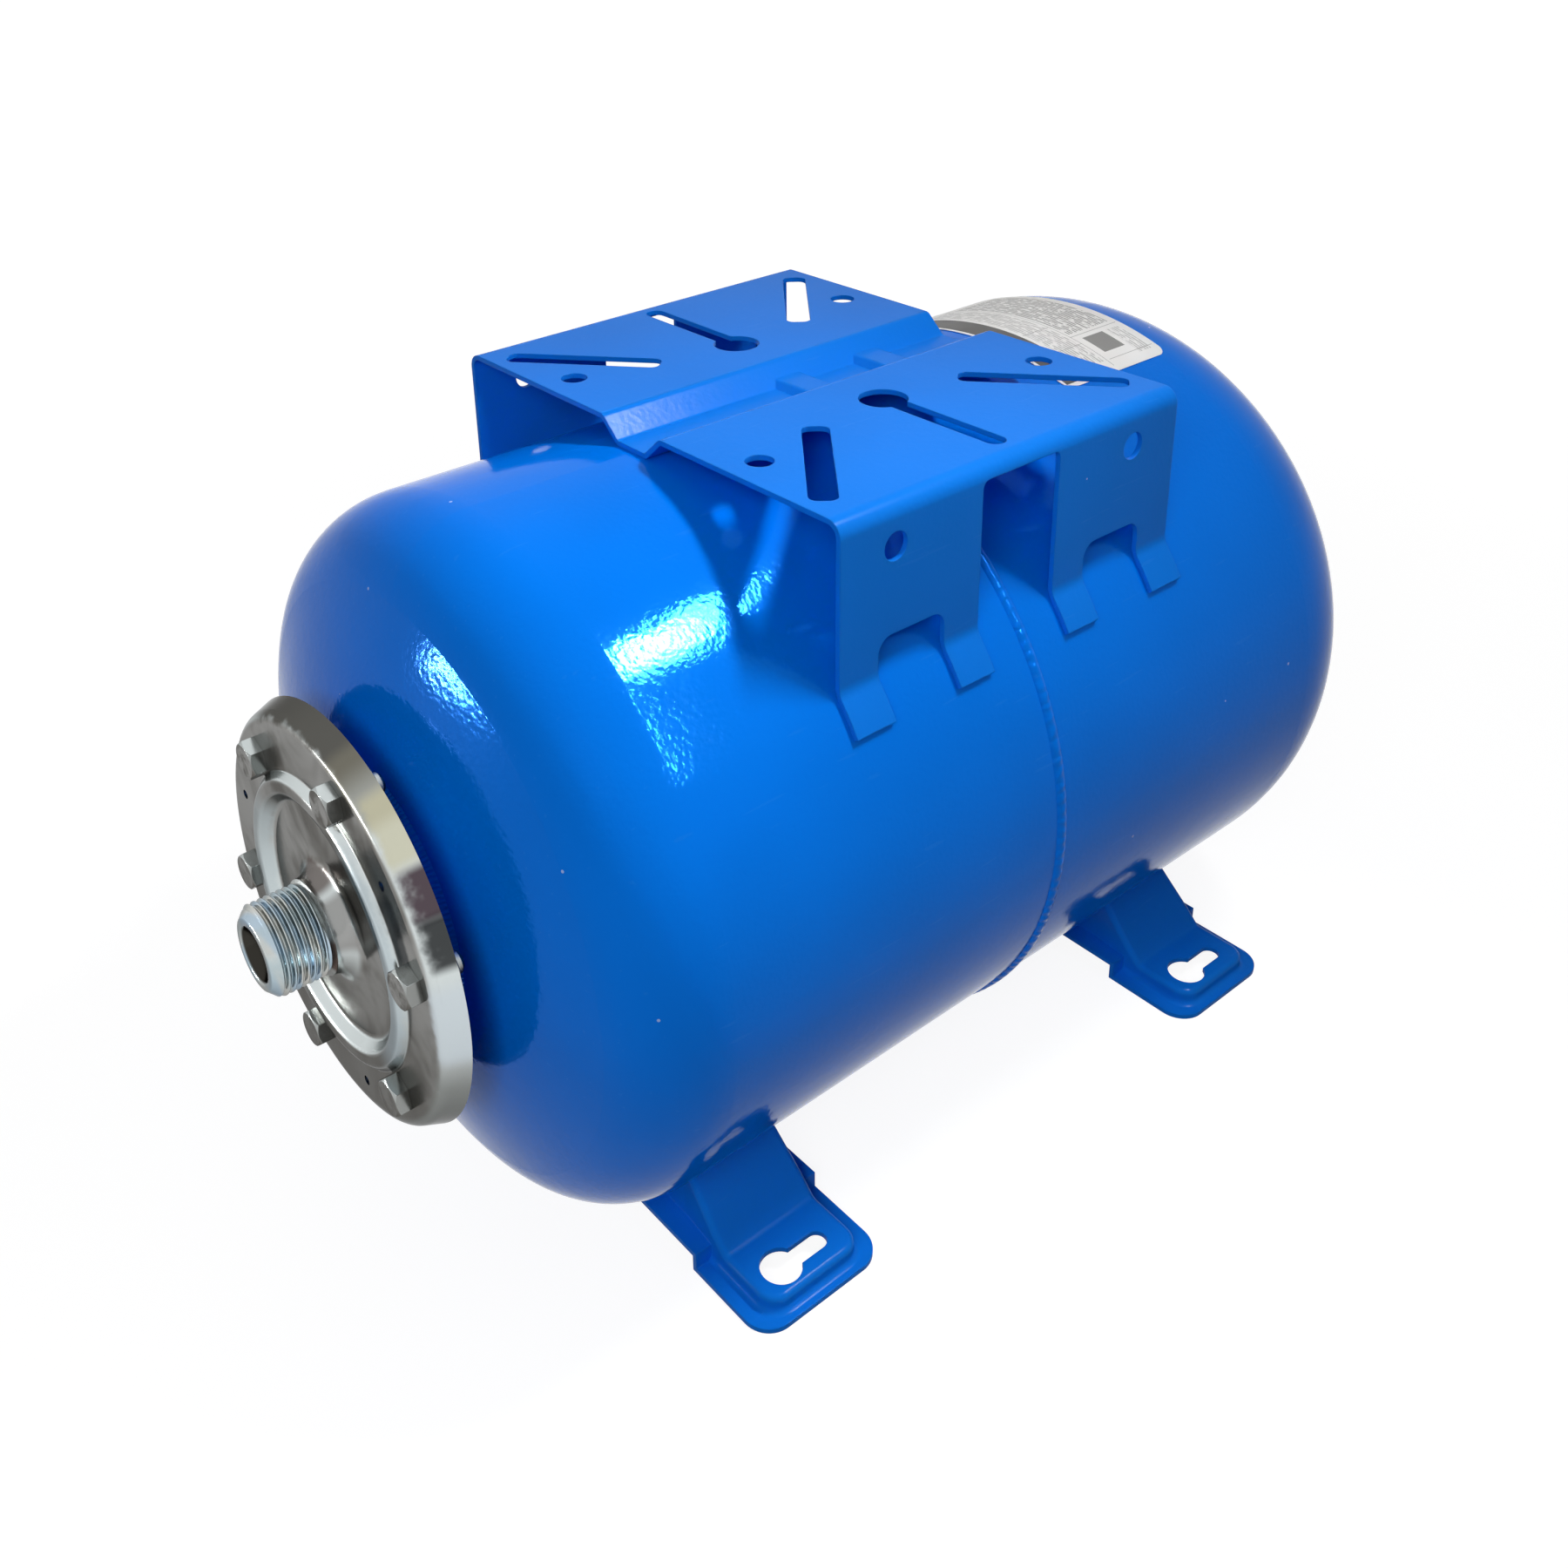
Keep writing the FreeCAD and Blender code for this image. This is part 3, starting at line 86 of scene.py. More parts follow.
# Ripples of a weld bead to the turn, and how far noise pushes them about.
BEAD_RIPPLES = 180.0
BEAD_WOBBLE = 14.0

# Stains round the disc, with painted reflections on its rim, a painted shadow on its bolt land
# and painted highlights on its ring: tone, amount, radii in mm, angle from the top and spread
# in degrees.
DISC_STAINS_AND_PAINTED_LIGHT = (
    # On the rim: dark and pale patches, partly stains and partly painted reflections.
    ((0.045, 0.038, 0.028, 1), 0.90, (73, 84), 4, 34),
    ((0.20, 0.19, 0.15, 1), 0.60, (72, 84), -24, 14),
    ((0.55, 0.52, 0.34, 1), 0.65, (74, 84), -37, 12),
    ((0.045, 0.018, 0.032, 1), 0.92, (75, 84), -54, 8),
    ((0.012, 0.013, 0.015, 1), 0.92, (75, 84), -66, 8),
    ((0.50, 0.56, 0.60, 1), 0.70, (72, 84), -88, 14),
    ((0.20, 0.21, 0.20, 1), 0.75, (72, 84), -138, 44),
    # On the bolt land: painted shadow beside a bolt.
    ((0.03, 0.035, 0.04, 1), 0.80, (55, 65), -62, 14),
    # On the raised ring: painted highlights.
    ((0.36, 0.43, 0.47, 1), 0.60, (44, 54), -80, 60),
    ((0.40, 0.46, 0.48, 1), 0.60, (44, 54), 100, 60))
# Heat from the welding on the disc's hub: amount, radii, angle and spread as above.
HUB_HEAT = ((0.8, (12, 22), 10, 38), (0.55, (12, 22), -60, 38))

# The label's fields in mm: from and to along the tank, from and to round it, strength.
PRINT_ROWS = ((34, 60, -22, 44, 0.72), (17, 31, -44, 44, 0.45), (52, 60, -46, -27, 0.4))
PRINT_FIELDS = (
    (1.6, 14.6, -49, 49, 0.93), (32.2, 32.5, -48, 48, 0.6), (32.2, 62.0, -24.3, -24.0, 0.6),
    (16.0, 32.2, -12.3, -12.0, 0.5), (16.0, 32.2, 14.0, 14.3, 0.5),
    (16.0, 32.2, -30.3, -30.0, 0.5), (36.5, 49.5, -39.5, -27.0, 0.72),
    (34.0, 62.0, -44.3, -44.0, 0.5))

# The thread: share of its flats, rows of faces to a turn, and its broken edges.
THREAD_FLAT = 0.12
ROWS_PER_TURN = 12
BORE_CHAMFER = 0.8 * MM
NOSE_EDGE = 0.3 * MM
# Bands of its rainbow sheen: how fast they follow along the axis and round it.
SHEEN_ALONG, SHEEN_ROUND = 900.0, 3.0

# The floor: half its side in metres, its glow near the tank and what is added further out.
FLOOR_HALF_SIDE = 6.0
FLOOR_GLOW, FLOOR_GLOW_ADDED = 0.90, 0.10
# Where the lamps look: the bright patch of the shell, and the middle of the tank.
SHELL_PATCH = (-0.085, -0.048, 0.27)
TANK_MIDDLE = (-0.02, 0, 0.17)
# Soft light that no reflection shows: name, place, size, watts.
SOFTBOXES = (("overhead", (-0.2, 0.1, 1.9), (1.6, 1.2), 3.15),
             ("near_softbox", (-0.9, -0.65, 0.85), (0.5, 0.4), 5.5),
             ("far_softbox", (-0.8, 0.8, 1.6), (1.2, 1.0), 1.8))
# Windows that only reflections show: name, place, size, share of the glint's power.
GLINTS = (("window_glint", (0.277, -0.290, 0.936), (0.060, 0.115), 0.50),
          ("fading_glint", (0.311, -0.284, 0.919), (0.022, 0.115), 0.05),
          ("side_glint", (0.254, -0.634, 0.830), (0.03, 0.46), 0.14))


class PaintSettings(bpy.types.PropertyGroup):
    """Blue enamel on the shell and on the pressed brackets."""
    tank: FloatVectorProperty(name="Tank blue", description="Enamel colour of the shell",
                              subtype="COLOR", size=4, default=(0.0, 0.185, 0.83, 1))
    bracket: FloatVectorProperty(name="Bracket blue",
                                 description="Enamel colour of platform and feet",
                                 subtype="COLOR", size=4, default=(0.005, 0.198, 0.80, 1))
    peel: FloatProperty(name="Orange peel", description="Width of the enamel's ripples",
                        subtype="DISTANCE", default=2.0 * MM)
    gloss: FloatProperty(name="Shell roughness", description="Roughness of the shell's enamel",
                         subtype="FACTOR", default=0.09)
    satin: FloatProperty(name="Bracket roughness",
                         description="Roughness of the brackets' enamel",
                         subtype="FACTOR", default=0.20)
    flake: FloatProperty(name="Flake", description="Share of blue sheen in the enamel",
                         subtype="FACTOR", default=0.10)


class MetalSettings(bpy.types.PropertyGroup):
    """Zinc plating, brass and spring wire."""
    zinc: FloatVectorProperty(name="Zinc", description="Colour of the plated flats",
                              subtype="COLOR", size=4, default=(0.31, 0.31, 0.30, 1))
    # The passivation tint also serves as painted shade on slopes facing down and on the lower
    # flats.
    tint: FloatVectorProperty(name="Passivation", description="Dull tint of the flats",
                              subtype="COLOR", size=4, default=(0.12, 0.115, 0.105, 1))
    # Painted highlight on folds and slopes that face up.
    bright: FloatVectorProperty(name="Highlight", description="Colour of folds and slopes",
                                subtype="COLOR", size=4, default=(0.60, 0.65, 0.65, 1))
    heat: FloatVectorProperty(name="Heat stain", description="Colour beside the weld",
                              subtype="COLOR", size=4, default=(0.075, 0.045, 0.035, 1))
    brass: FloatVectorProperty(name="Brass", description="Colour of the air valve",
                               subtype="COLOR", size=4, default=(0.60, 0.44, 0.20, 1))


class ThreadSettings(bpy.types.PropertyGroup):
    """Male pipe thread of the inlet."""
    pitch: FloatProperty(name="Pitch", description="Distance from crest to crest",
                         subtype="DISTANCE", default=2.309 * MM)
    depth: FloatProperty(name="Depth", description="Height of the thread",
                         subtype="DISTANCE", default=1.45 * MM)
    bore: FloatProperty(name="Bore", description="Radius of the water passage",
                        subtype="DISTANCE", default=9.7 * MM)
    nose: FloatProperty(name="Nose", description="Radius of the flat end face",
                        subtype="DISTANCE", default=13.0 * MM)
    nose_length: FloatProperty(name="Nose length", description="Length of the end's cone",
                               subtype="DISTANCE", default=3.5 * MM)
    spigot: FloatProperty(name="Spigot", description="Radius inside the pressed hub",
                          subtype="DISTANCE", default=15.0 * MM)
    relief: FloatProperty(name="Relief", description="Plain neck between thread and weld",
                          subtype="DISTANCE", default=0.6 * MM)
    relief_depth: FloatProperty(name="Relief depth", description="How far the neck is turned",
                                subtype="DISTANCE", default=1.0 * MM)
    steps: IntProperty(name="Steps around", description="Faces around the thread",
                       default=128, min=32)


class StudioSettings(bpy.types.PropertyGroup):
    """Camera and lamps."""
    camera: FloatVectorProperty(name="Camera", description="Place of the camera",
                                subtype="TRANSLATION", default=(-0.39687, -0.43217, 0.50469))
    turn: FloatVectorProperty(name="Turn", description="Camera's rotation",
                              subtype="EULER", default=(1.15496, 0.03529, -0.66571))
    lens: FloatProperty(name="Lens", description="Focal length in millimetres",
                        unit="CAMERA", default=36.984)
    shift: FloatVectorProperty(name="Shift", description="Lens shift", size=2,
                               default=(0.0682, -0.1988))
    background: FloatProperty(name="Room light", description="Strength of the room",
                              default=0.10)
    key: FloatProperty(name="Key", description="Power of the window lamp in watts",
                       unit="POWER", default=2.7)
    glint: FloatProperty(name="Glint", description="Power that only reflections show",
                         unit="POWER", default=25.0)


def new_node(tree, kind, inputs=None, **settings):
    """A shader node with its settings, values and links in one call."""
    node = tree.nodes.new(kind)
    for key, value in settings.items():
        setattr(node, key, value)
    for name, value in (inputs or {}).items():
        if isinstance(value, bpy.types.NodeSocket):
            tree.links.new(value, node.inputs[name])
        else:
            node.inputs[name].default_value = value
    return node


def maths(tree, operation, *values):
    """The result of one Math node."""
    node = new_node(tree, "ShaderNodeMath", dict(enumerate(values)), operation=operation)
    return node.outputs[0]


def blend_colour(tree, factor, first, second):
    """A colour between two others; the factor and both may be values or links."""
    node = new_node(tree, "ShaderNodeMix", data_type="RGBA")
    for index, value in ((0, factor), (6, first), (7, second)):
        if isinstance(value, bpy.types.NodeSocket):
            tree.links.new(value, node.inputs[index])
        else:
            node.inputs[index].default_value = value
    return node.outputs[2]


def noise(tree, place, scale, detail=2.0, roughness=0.5, distortion=0.0):
    """The value of one Noise Texture."""
    node = new_node(tree, "ShaderNodeTexNoise", {
        "Vector": place, "Scale": scale, "Detail": detail, "Roughness": roughness,
        "Distortion": distortion})
    return node.outputs["Fac"]


def band(tree, value, low, high):
    """0 below low, 1 above high, a soft step between."""
    node = new_node(tree, "ShaderNodeMapRange", {
        "Value": value, "From Min": low, "From Max": high}, interpolation_type="SMOOTHSTEP")
    return node.outputs["Result"]


def fall(tree, value, low, high):
    """1 below low, 0 above high, a soft step between."""
    return maths(tree, "SUBTRACT", 1.0, band(tree, value, low, high))


def split(tree, vector):
    """The X, Y and Z of a vector."""
    return new_node(tree, "ShaderNodeSeparateXYZ", {"Vector": vector}).outputs


def shader_group(name, inputs, outputs):
    """An empty node group; its sockets are given as (name, kind, default)."""
    group = bpy.data.node_groups.new(name, "ShaderNodeTree")
    for socket, kind, default in inputs:
        made = group.interface.new_socket(socket, in_out="INPUT", socket_type=kind)
        if default is not None:
            made.default_value = default
    for socket, kind in outputs:
        group.interface.new_socket(socket, in_out="OUTPUT", socket_type=kind)
    entry = group.nodes.new("NodeGroupInput")
    way_out = group.nodes.new("NodeGroupOutput")
    return group, entry.outputs, way_out.inputs


def use_group(tree, group, **inputs):
    """A group placed in a material with its own values and links."""
    node = tree.nodes.new("ShaderNodeGroup")
    node.node_tree = group
    for name, value in inputs.items():
        socket = node.inputs[name.replace("_", " ")]
        if isinstance(value, bpy.types.NodeSocket):
            tree.links.new(value, socket)
        else:
            socket.default_value = value
    return node.outputs


FLOAT, VECTOR, COLOUR = "NodeSocketFloat", "NodeSocketVector", "NodeSocketColor"


def orange_peel_group():
    """Ripples of sprayed enamel: a fine dimple and a slow swell, as one height."""
    group, given, out = shader_group(
        "orange_peel", [("Place", VECTOR, None), ("Width", FLOAT, 0.002)],
        [("Height", FLOAT)])
    scale = maths(group, "DIVIDE", 1.0, given["Width"])
    slow = maths(group, "MULTIPLY", scale, 0.16)
    dimples = noise(group, given["Place"], scale, 1.0, 0.4)
    swell = noise(group, given["Place"], slow, 2.0, 0.5)
    both = maths(group, "MULTIPLY_ADD", swell, 1.6, dimples)
    group.links.new(both, out["Height"])
    return group


def dust_group():
    """Pale specks of dust and short rubs, as two masks."""
    group, given, out = shader_group(
        "dust", [("Place", VECTOR, None), ("Amount", FLOAT, 0.5)],
        [("Specks", FLOAT), ("Rubs", FLOAT)])
    cells = new_node(group, "ShaderNodeTexVoronoi", {
        "Vector": given["Place"], "Scale": 95.0, "Randomness": 1.0})
    size = maths(group, "MULTIPLY", given["Amount"], 0.07)
    near = maths(group, "LESS_THAN", cells.outputs["Distance"], size)
    channels = new_node(group, "ShaderNodeSeparateColor", {"Color": cells.outputs["Color"]})
    chosen = maths(group, "GREATER_THAN", channels.outputs["Red"], 0.90)
    group.links.new(maths(group, "MULTIPLY", near, chosen), out["Specks"])
    stretched = new_node(group, "ShaderNodeMapping", {
        "Vector": given["Place"], "Rotation": (0.4, 0.3, 0.6), "Scale": (14.0, 160.0, 160.0)})
    lines = noise(group, stretched.outputs["Vector"], 3.0, 1.0, 0.5)
    group.links.new(band(group, lines, 0.70, 0.76), out["Rubs"])
    return group


def plating_group():
    """Cloudy zinc plating: colour between two tints and a roughness that drifts."""
    group, given, out = shader_group(
        "plating", [("Place", VECTOR, None), ("First", COLOUR, None), ("Second", COLOUR, None),
                    ("Cloud", FLOAT, 40.0)],
        [("Colour", COLOUR), ("Roughness", FLOAT), ("Height", FLOAT)])
    cloud = noise(group, given["Place"], given["Cloud"], 3.0, 0.6, 0.6)
    fine = noise(group, given["Place"], 900.0, 2.0, 0.6)
    tinted = blend_colour(group, band(group, cloud, 0.38, 0.66), given["First"],
                          given["Second"])
    stains = band(group, noise(group, given["Place"], 70.0, 4.0, 0.65), 0.60, 0.74)
    dulled = blend_colour(group, maths(group, "MULTIPLY", stains, 0.35), tinted,
                          DULL_ZINC)
    group.links.new(dulled, out["Colour"])
    rough = maths(group, "MULTIPLY_ADD", cloud, 0.22, 0.10)
    group.links.new(maths(group, "MULTIPLY_ADD", fine, 0.10, rough), out["Roughness"])
    group.links.new(fine, out["Height"])
    return group


def start_material(name):
    """A material with its tree, its shader and the object's own coordinates."""
    material = bpy.data.materials.new(name)
    material.use_nodes = True
    tree = material.node_tree
    place = new_node(tree, "ShaderNodeTexCoord").outputs["Object"]
    return material, tree, tree.nodes["Principled BSDF"], place


def finish_surface(tree, shader, colour, roughness=None):
    """Links the colour, and where given the roughness, to the shader."""
    tree.links.new(colour, shader.inputs["Base Color"])
    if roughness is not None:
        tree.links.new(roughness, shader.inputs["Roughness"])


def add_bump(tree, shader, height, distance, before=None):
    """Relief of a depth in metres, laid over an earlier bump where one is given."""
    inputs = {"Height": height, "Distance": distance, "Strength": 1.0}
    if before is not None:
        inputs["Normal"] = before
    node = new_node(tree, "ShaderNodeBump", inputs)
    tree.links.new(node.outputs["Normal"], shader.inputs["Normal"])
    return node.outputs["Normal"]


def soften_edges(tree, bump, radius):
    """Rounds the shading of sharp edges under a bump, as paint and plating do."""
    soft = new_node(tree, "ShaderNodeBevel", {"Radius": radius}, samples=4)
    tree.links.new(soft.outputs["Normal"], bump.node.inputs["Normal"])


def shade(nodes, material):
    """Gives CAD nodes or new pieces a material in place of their own."""
    for item in nodes:
        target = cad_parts[item] if isinstance(item, str) else item
        target.data.materials.clear()
        target.data.materials.append(material)


def enamel(name, colour, roughness, settings, peel_depth, dust_amount):
    """Sprayed enamel; the tree, shader and bump are returned for what lies on top."""
    material, tree, shader, place = start_material(name)
    drift = noise(tree, place, 9.0, 2.0, 0.5)
    deeper = tuple(part * 0.90 for part in colour[:3]) + (1,)
    base = blend_colour(tree, band(tree, drift, 0.3, 0.7), tuple(colour), deeper)
    dust = use_group(tree, GROUPS["dust"], Place=place, Amount=dust_amount)
    rubbed = maths(tree, "MULTIPLY", dust["Rubs"], 0.10)
    base = blend_colour(tree, rubbed, base, RUBBED_BLUE)
    base = blend_colour(tree, maths(tree, "MULTIPLY", dust["Specks"], 0.6), base, DUST)
    fine = noise(tree, place, 35.0, 3.0, 0.6)
    rough = maths(tree, "MULTIPLY_ADD", fine, 0.06, roughness - 0.03)
    rough = maths(tree, "MULTIPLY_ADD", dust["Specks"], 0.3, rough)
    finish_surface(tree, shader, base, rough)
    shader.inputs["Specular IOR Level"].default_value = ENAMEL_SPECULAR
    shader.inputs["Metallic"].default_value = settings.flake
    peel = use_group(tree, GROUPS["peel"], Place=place, Width=settings.peel)
    normal = add_bump(tree, shader, peel["Height"], peel_depth)
    return material, tree, shader, normal


def build_groups():
    """The shared effects by name."""
    return {"peel": orange_peel_group(), "dust": dust_group(), "plating": plating_group()}


GROUPS = {}


class OBJECT_OT_enamel_tank(bpy.types.Operator):
    """Sprays the shell halves, the tank's flange and their welds"""
    bl_idname = "object.enamel_tank"
    bl_label = "Enamel the tank"

    def execute(self, context):
        paint = context.scene.tank_paint
        shell = enamel("shell_enamel", paint.tank, paint.gloss, paint, 0.065 * MM, 0.8)[0]
        shade(["front_shell", "rear_shell", "tank_flange"], shell)
        bead, tree, shader, normal = enamel("weld_enamel", paint.tank, paint.gloss,
                                            paint, 0.12 * MM, 0.4)
        place = new_node(tree, "ShaderNodeTexCoord").outputs["Object"]
        turn = axis_places(tree, place)[1]
        wobble = maths(tree, "MULTIPLY", noise(tree, place, 90.0, 3.0), BEAD_WOBBLE)
        ripple = maths(tree, "SINE", maths(tree, "MULTIPLY_ADD", turn, BEAD_RIPPLES, wobble))
        add_bump(tree, shader, ripple, 0.13 * MM, normal)
        shade(["girth_weld", "neck_weld"], bead)
        return {"FINISHED"}


class OBJECT_OT_enamel_brackets(bpy.types.Operator):
    """Sprays the pump platform and both foot brackets"""
    bl_idname = "object.enamel_brackets"
    bl_label = "Enamel the brackets"

    def execute(self, context):
        paint = context.scene.tank_paint
        coat, tree, shader, normal = enamel("bracket_enamel", paint.bracket, paint.satin,
                                            paint, 0.05 * MM, 0.5)
        shader.inputs["Metallic"].default_value = 0.0
        soften_edges(tree, normal, PAINTED_EDGE)
        shade(["pump_platform", "front_foot_bracket", "rear_foot_bracket"], coat)
        return {"FINISHED"}


def plated(name, settings, roughness_shift, cloud, bump=0.01 * MM, painted_highlight_from=-0.9):
    """Zinc plating: dull flats across the tank's axis; folds and slopes get a painted
    highlight where they face up and painted shade where they face down.
    """
    material, tree, shader, place = start_material(name)
    zinc = use_group(tree, GROUPS["plating"], Place=place, First=settings.zinc,
                     Second=settings.tint, Cloud=cloud)
    facing = split(tree, new_node(tree, "ShaderNodeNewGeometry").outputs["Normal"])
    # Painted light: folds and slopes facing up take the highlight colour, and those facing
    # down take the dark tint as painted shade.
    flat = band(tree, maths(tree, "ABSOLUTE", facing["X"]), 0.80, 0.985)
    upward = band(tree, facing["Z"], painted_highlight_from, painted_highlight_from + 1.4)
    painted_highlight_and_shade = blend_colour(tree, upward, tuple(settings.tint), tuple(settings.bright))
    # Painted shade: the flats grow darker towards the foot of the disc.
    painted_shade_below = fall(tree, split(tree, place)["Z"], AXIS_HEIGHT - 80 * MM, AXIS_HEIGHT + 30 * MM)
    dull = blend_colour(tree, maths(tree, "MULTIPLY", painted_shade_below, 0.85), zinc["Colour"],
                        tuple(settings.tint))
    colour = blend_colour(tree, flat, painted_highlight_and_shade, dull)
    rough = maths(tree, "ADD", zinc["Roughness"], roughness_shift)
    finish_surface(tree, shader, colour, rough)
    shader.inputs["Metallic"].default_value = 1.0
    shader.inputs["Specular Tint"].default_value = PLATED_EDGE
    add_bump(tree, shader, zinc["Height"], bump)
    return material, tree, shader, place, colour


def axis_places(tree, place):
    """Distance from the tank's axis, angle round it from the top, and place along it."""
    axes = split(tree, place)
    height = maths(tree, "SUBTRACT", axes["Z"], AXIS_HEIGHT)
    reach = maths(tree, "SQRT", maths(tree, "ADD", maths(tree, "MULTIPLY", height, height),
                                      maths(tree, "MULTIPLY", axes["Y"], axes["Y"])))
    return reach, maths(tree, "ARCTAN2", axes["Y"], height), axes["X"]


def stain(tree, place, colour, tone, amount, radii, angle, spread):
    """Tints a ragged patch between two radii in mm, about an angle in degrees; it lays real
    stains and painted light alike.
    """
    reach, turn = axis_places(tree, place)[:2]
    rag = noise(tree, place, 120.0, 3.0, 0.6)
    reach = maths(tree, "MULTIPLY_ADD", maths(tree, "SUBTRACT", rag, 0.5), 5 * MM, reach)
    inside, outside, soft = radii[0] * MM, radii[1] * MM, 1.5 * MM
    inner = band(tree, reach, inside - soft, inside + soft)
    outer = fall(tree, reach, outside - soft, outside + soft)
    away = maths(tree, "ABSOLUTE", maths(tree, "SUBTRACT", turn, math.radians(angle)))
    near = fall(tree, away, math.radians(spread) * 0.6, math.radians(spread))
    mask = maths(tree, "MULTIPLY", maths(tree, "MULTIPLY", inner, outer), near)
    return blend_colour(tree, maths(tree, "MULTIPLY", mask, amount), colour, tone)


class OBJECT_OT_plate_disc(bpy.types.Operator):
    """Plates the pressed disc: stains and painted reflections on its rim, a painted shadow on
    its land, painted highlights on its ring, and the stains of its welded inlet
    """
    bl_idname = "object.plate_disc"
    bl_label = "Plate the disc"

    def execute(self, context):
        metal = context.scene.tank_metal
        disc, tree, shader, place, colour = plated("disc_plating", metal, -0.07, 28.0)
        # Stains together with painted reflections, a painted shadow and painted highlights.
        for tone, amount, radii, angle, spread in DISC_STAINS_AND_PAINTED_LIGHT:
            colour = stain(tree, place, colour, tone, amount, radii, angle, spread)
        heat = tuple(metal.heat)
        for amount, radii, angle, spread in HUB_HEAT:
            colour = stain(tree, place, colour, heat, amount, radii, angle, spread)
        finish_surface(tree, shader, colour)
        shade(["counter_flange"], disc)
        seam, tree, shader, place, colour = plated("nipple_seam", metal, 0.10, 90.0, 0.2 * MM)
        colour = stain(tree, place, colour, heat, 0.9, (10, 22), -98, 30)
        finish_surface(tree, shader, colour)
        shade(["nipple_weld"], seam)
        return {"FINISHED"}


class OBJECT_OT_plate_fasteners(bpy.types.Operator):
    """Plates the ring of bolts and nuts"""
    bl_idname = "object.plate_fasteners"
    bl_label = "Plate the fasteners"

    def execute(self, context):
        # The painted highlight reaches further down the heads' facets than it does on the
        # disc.
        bolt, tree, shader = plated("bolt_plating", context.scene.tank_metal, -0.06, 160.0,
                                    painted_highlight_from=-0.25)[:3]
        bump = shader.inputs["Normal"].links[0].from_socket
        soften_edges(tree, bump, PLATED_CORNER)
        shade(["flange_bolts", "flange_nuts"], bolt)
        return {"FINISHED"}


def close_tube(mesh, rings, steps):
    """Joins rings of points into one closed tube whose last ring meets the first."""
    for ring, following in zip(rings, rings[1:] + rings[:1]):
        for i in range(steps):
            after = (i + 1) % steps
            mesh.faces.new((ring[i], ring[after], following[after], following[i]))


def link_piece(name, mesh, body="root"):
    """Turns a bmesh into a smooth object that rides on a body."""
    data = bpy.data.meshes.new(name)
    bmesh.ops.recalc_face_normals(mesh, faces=mesh.faces)
    mesh.to_mesh(data)
    mesh.free()
    for face in data.polygons:
        face.use_smooth = True
    piece = bpy.data.objects.new(name, data)
    bpy.context.scene.collection.objects.link(piece)
    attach(piece, body)
    return piece


class OBJECT_OT_cut_thread(bpy.types.Operator):
    """Turns the inlet nipple with its real thread"""
    bl_idname = "object.cut_thread"
    bl_label = "Cut the inlet's thread"

    def execute(self, context):
        size = context.scene.tank_thread
        start = INLET_LOW.x
        crest = (INLET_HIGH.z - INLET_LOW.z) / 2
        thread_end = SEAM_LOW.x - size.relief
        steps = size.steps

        def thread_radius(x, angle):
            """Radius of the ridges at a place along and round them, under the end's cone."""
            turns = (x - start) / size.pitch - angle / (2 * math.pi)
            wave = abs(2 * (turns % 1.0) - 1)
            form = min(1.0, max(0.0, (wave - THREAD_FLAT) / (1 - 2 * THREAD_FLAT)))
            radius = crest - size.depth * form
            cone = size.nose + (crest - size.nose) * (x - start) / size.nose_length
            return min(radius, cone)

        profile = [(INLET_HIGH.x, size.bore), (start + BORE_CHAMFER, size.bore),
                   (start, size.bore + BORE_CHAMFER), (start, size.nose - NOSE_EDGE)]
        mesh = bmesh.new()
        rings = []

        def add_ring(x, radius_at):
            """One ring of points round the axis, its radius a function of the angle."""
            ring = []
            for i in range(steps):
                angle = 2 * math.pi * i / steps
                radius = radius_at(angle)
                ring.append(mesh.verts.new((x, radius * math.sin(angle),
                                            AXIS_HEIGHT + radius * math.cos(angle))))
            rings.append(ring)

        for x, radius in profile:
            add_ring(x, lambda angle, radius=radius: radius)
        rows = int((thread_end - start) / size.pitch * ROWS_PER_TURN)
        for row in range(1, rows):
            x = start + (thread_end - start) * row / rows
            add_ring(x, lambda angle, x=x: thread_radius(x, angle))
        neck = crest - size.relief_depth
        for x, radius in ((thread_end, neck), (SEAM_HIGH.x, neck), (SEAM_HIGH.x, size.spigot),
                          (INLET_HIGH.x, size.spigot)):
            add_ring(x, lambda angle, radius=radius: radius)
        close_tube(mesh, rings, steps)
        piece = link_piece("threaded_inlet", mesh)
        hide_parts("inlet_nipple")
        cut, tree, shader, place, colour = plated("thread_plating", context.scene.tank_metal,
                                                  -0.10, 90.0)
        reach, turn, along = axis_places(tree, place)
        hue = maths(tree, "SINE", maths(tree, "MULTIPLY_ADD", along, SHEEN_ALONG,
                                        maths(tree, "MULTIPLY", turn, SHEEN_ROUND)))
        sheen = blend_colour(tree, band(tree, hue, -0.8, 0.8), THREAD_BLUE, THREAD_STRAW)
        sheen = blend_colour(tree, band(tree, noise(tree, place, 70.0, 3.0), 0.35, 0.7), sheen,
                             THREAD_GREY)
        colour = blend_colour(tree, 0.70, colour, sheen)
        # Painted shade on the bore's wall.
        outside = band(tree, reach, size.bore + 0.1 * MM, size.bore + 0.9 * MM)
        colour = blend_colour(tree, outside, BORE_PAINTED_SHADE, colour)
        finish_surface(tree, shader, colour)
        shade([piece], cut)
        return {"FINISHED"}


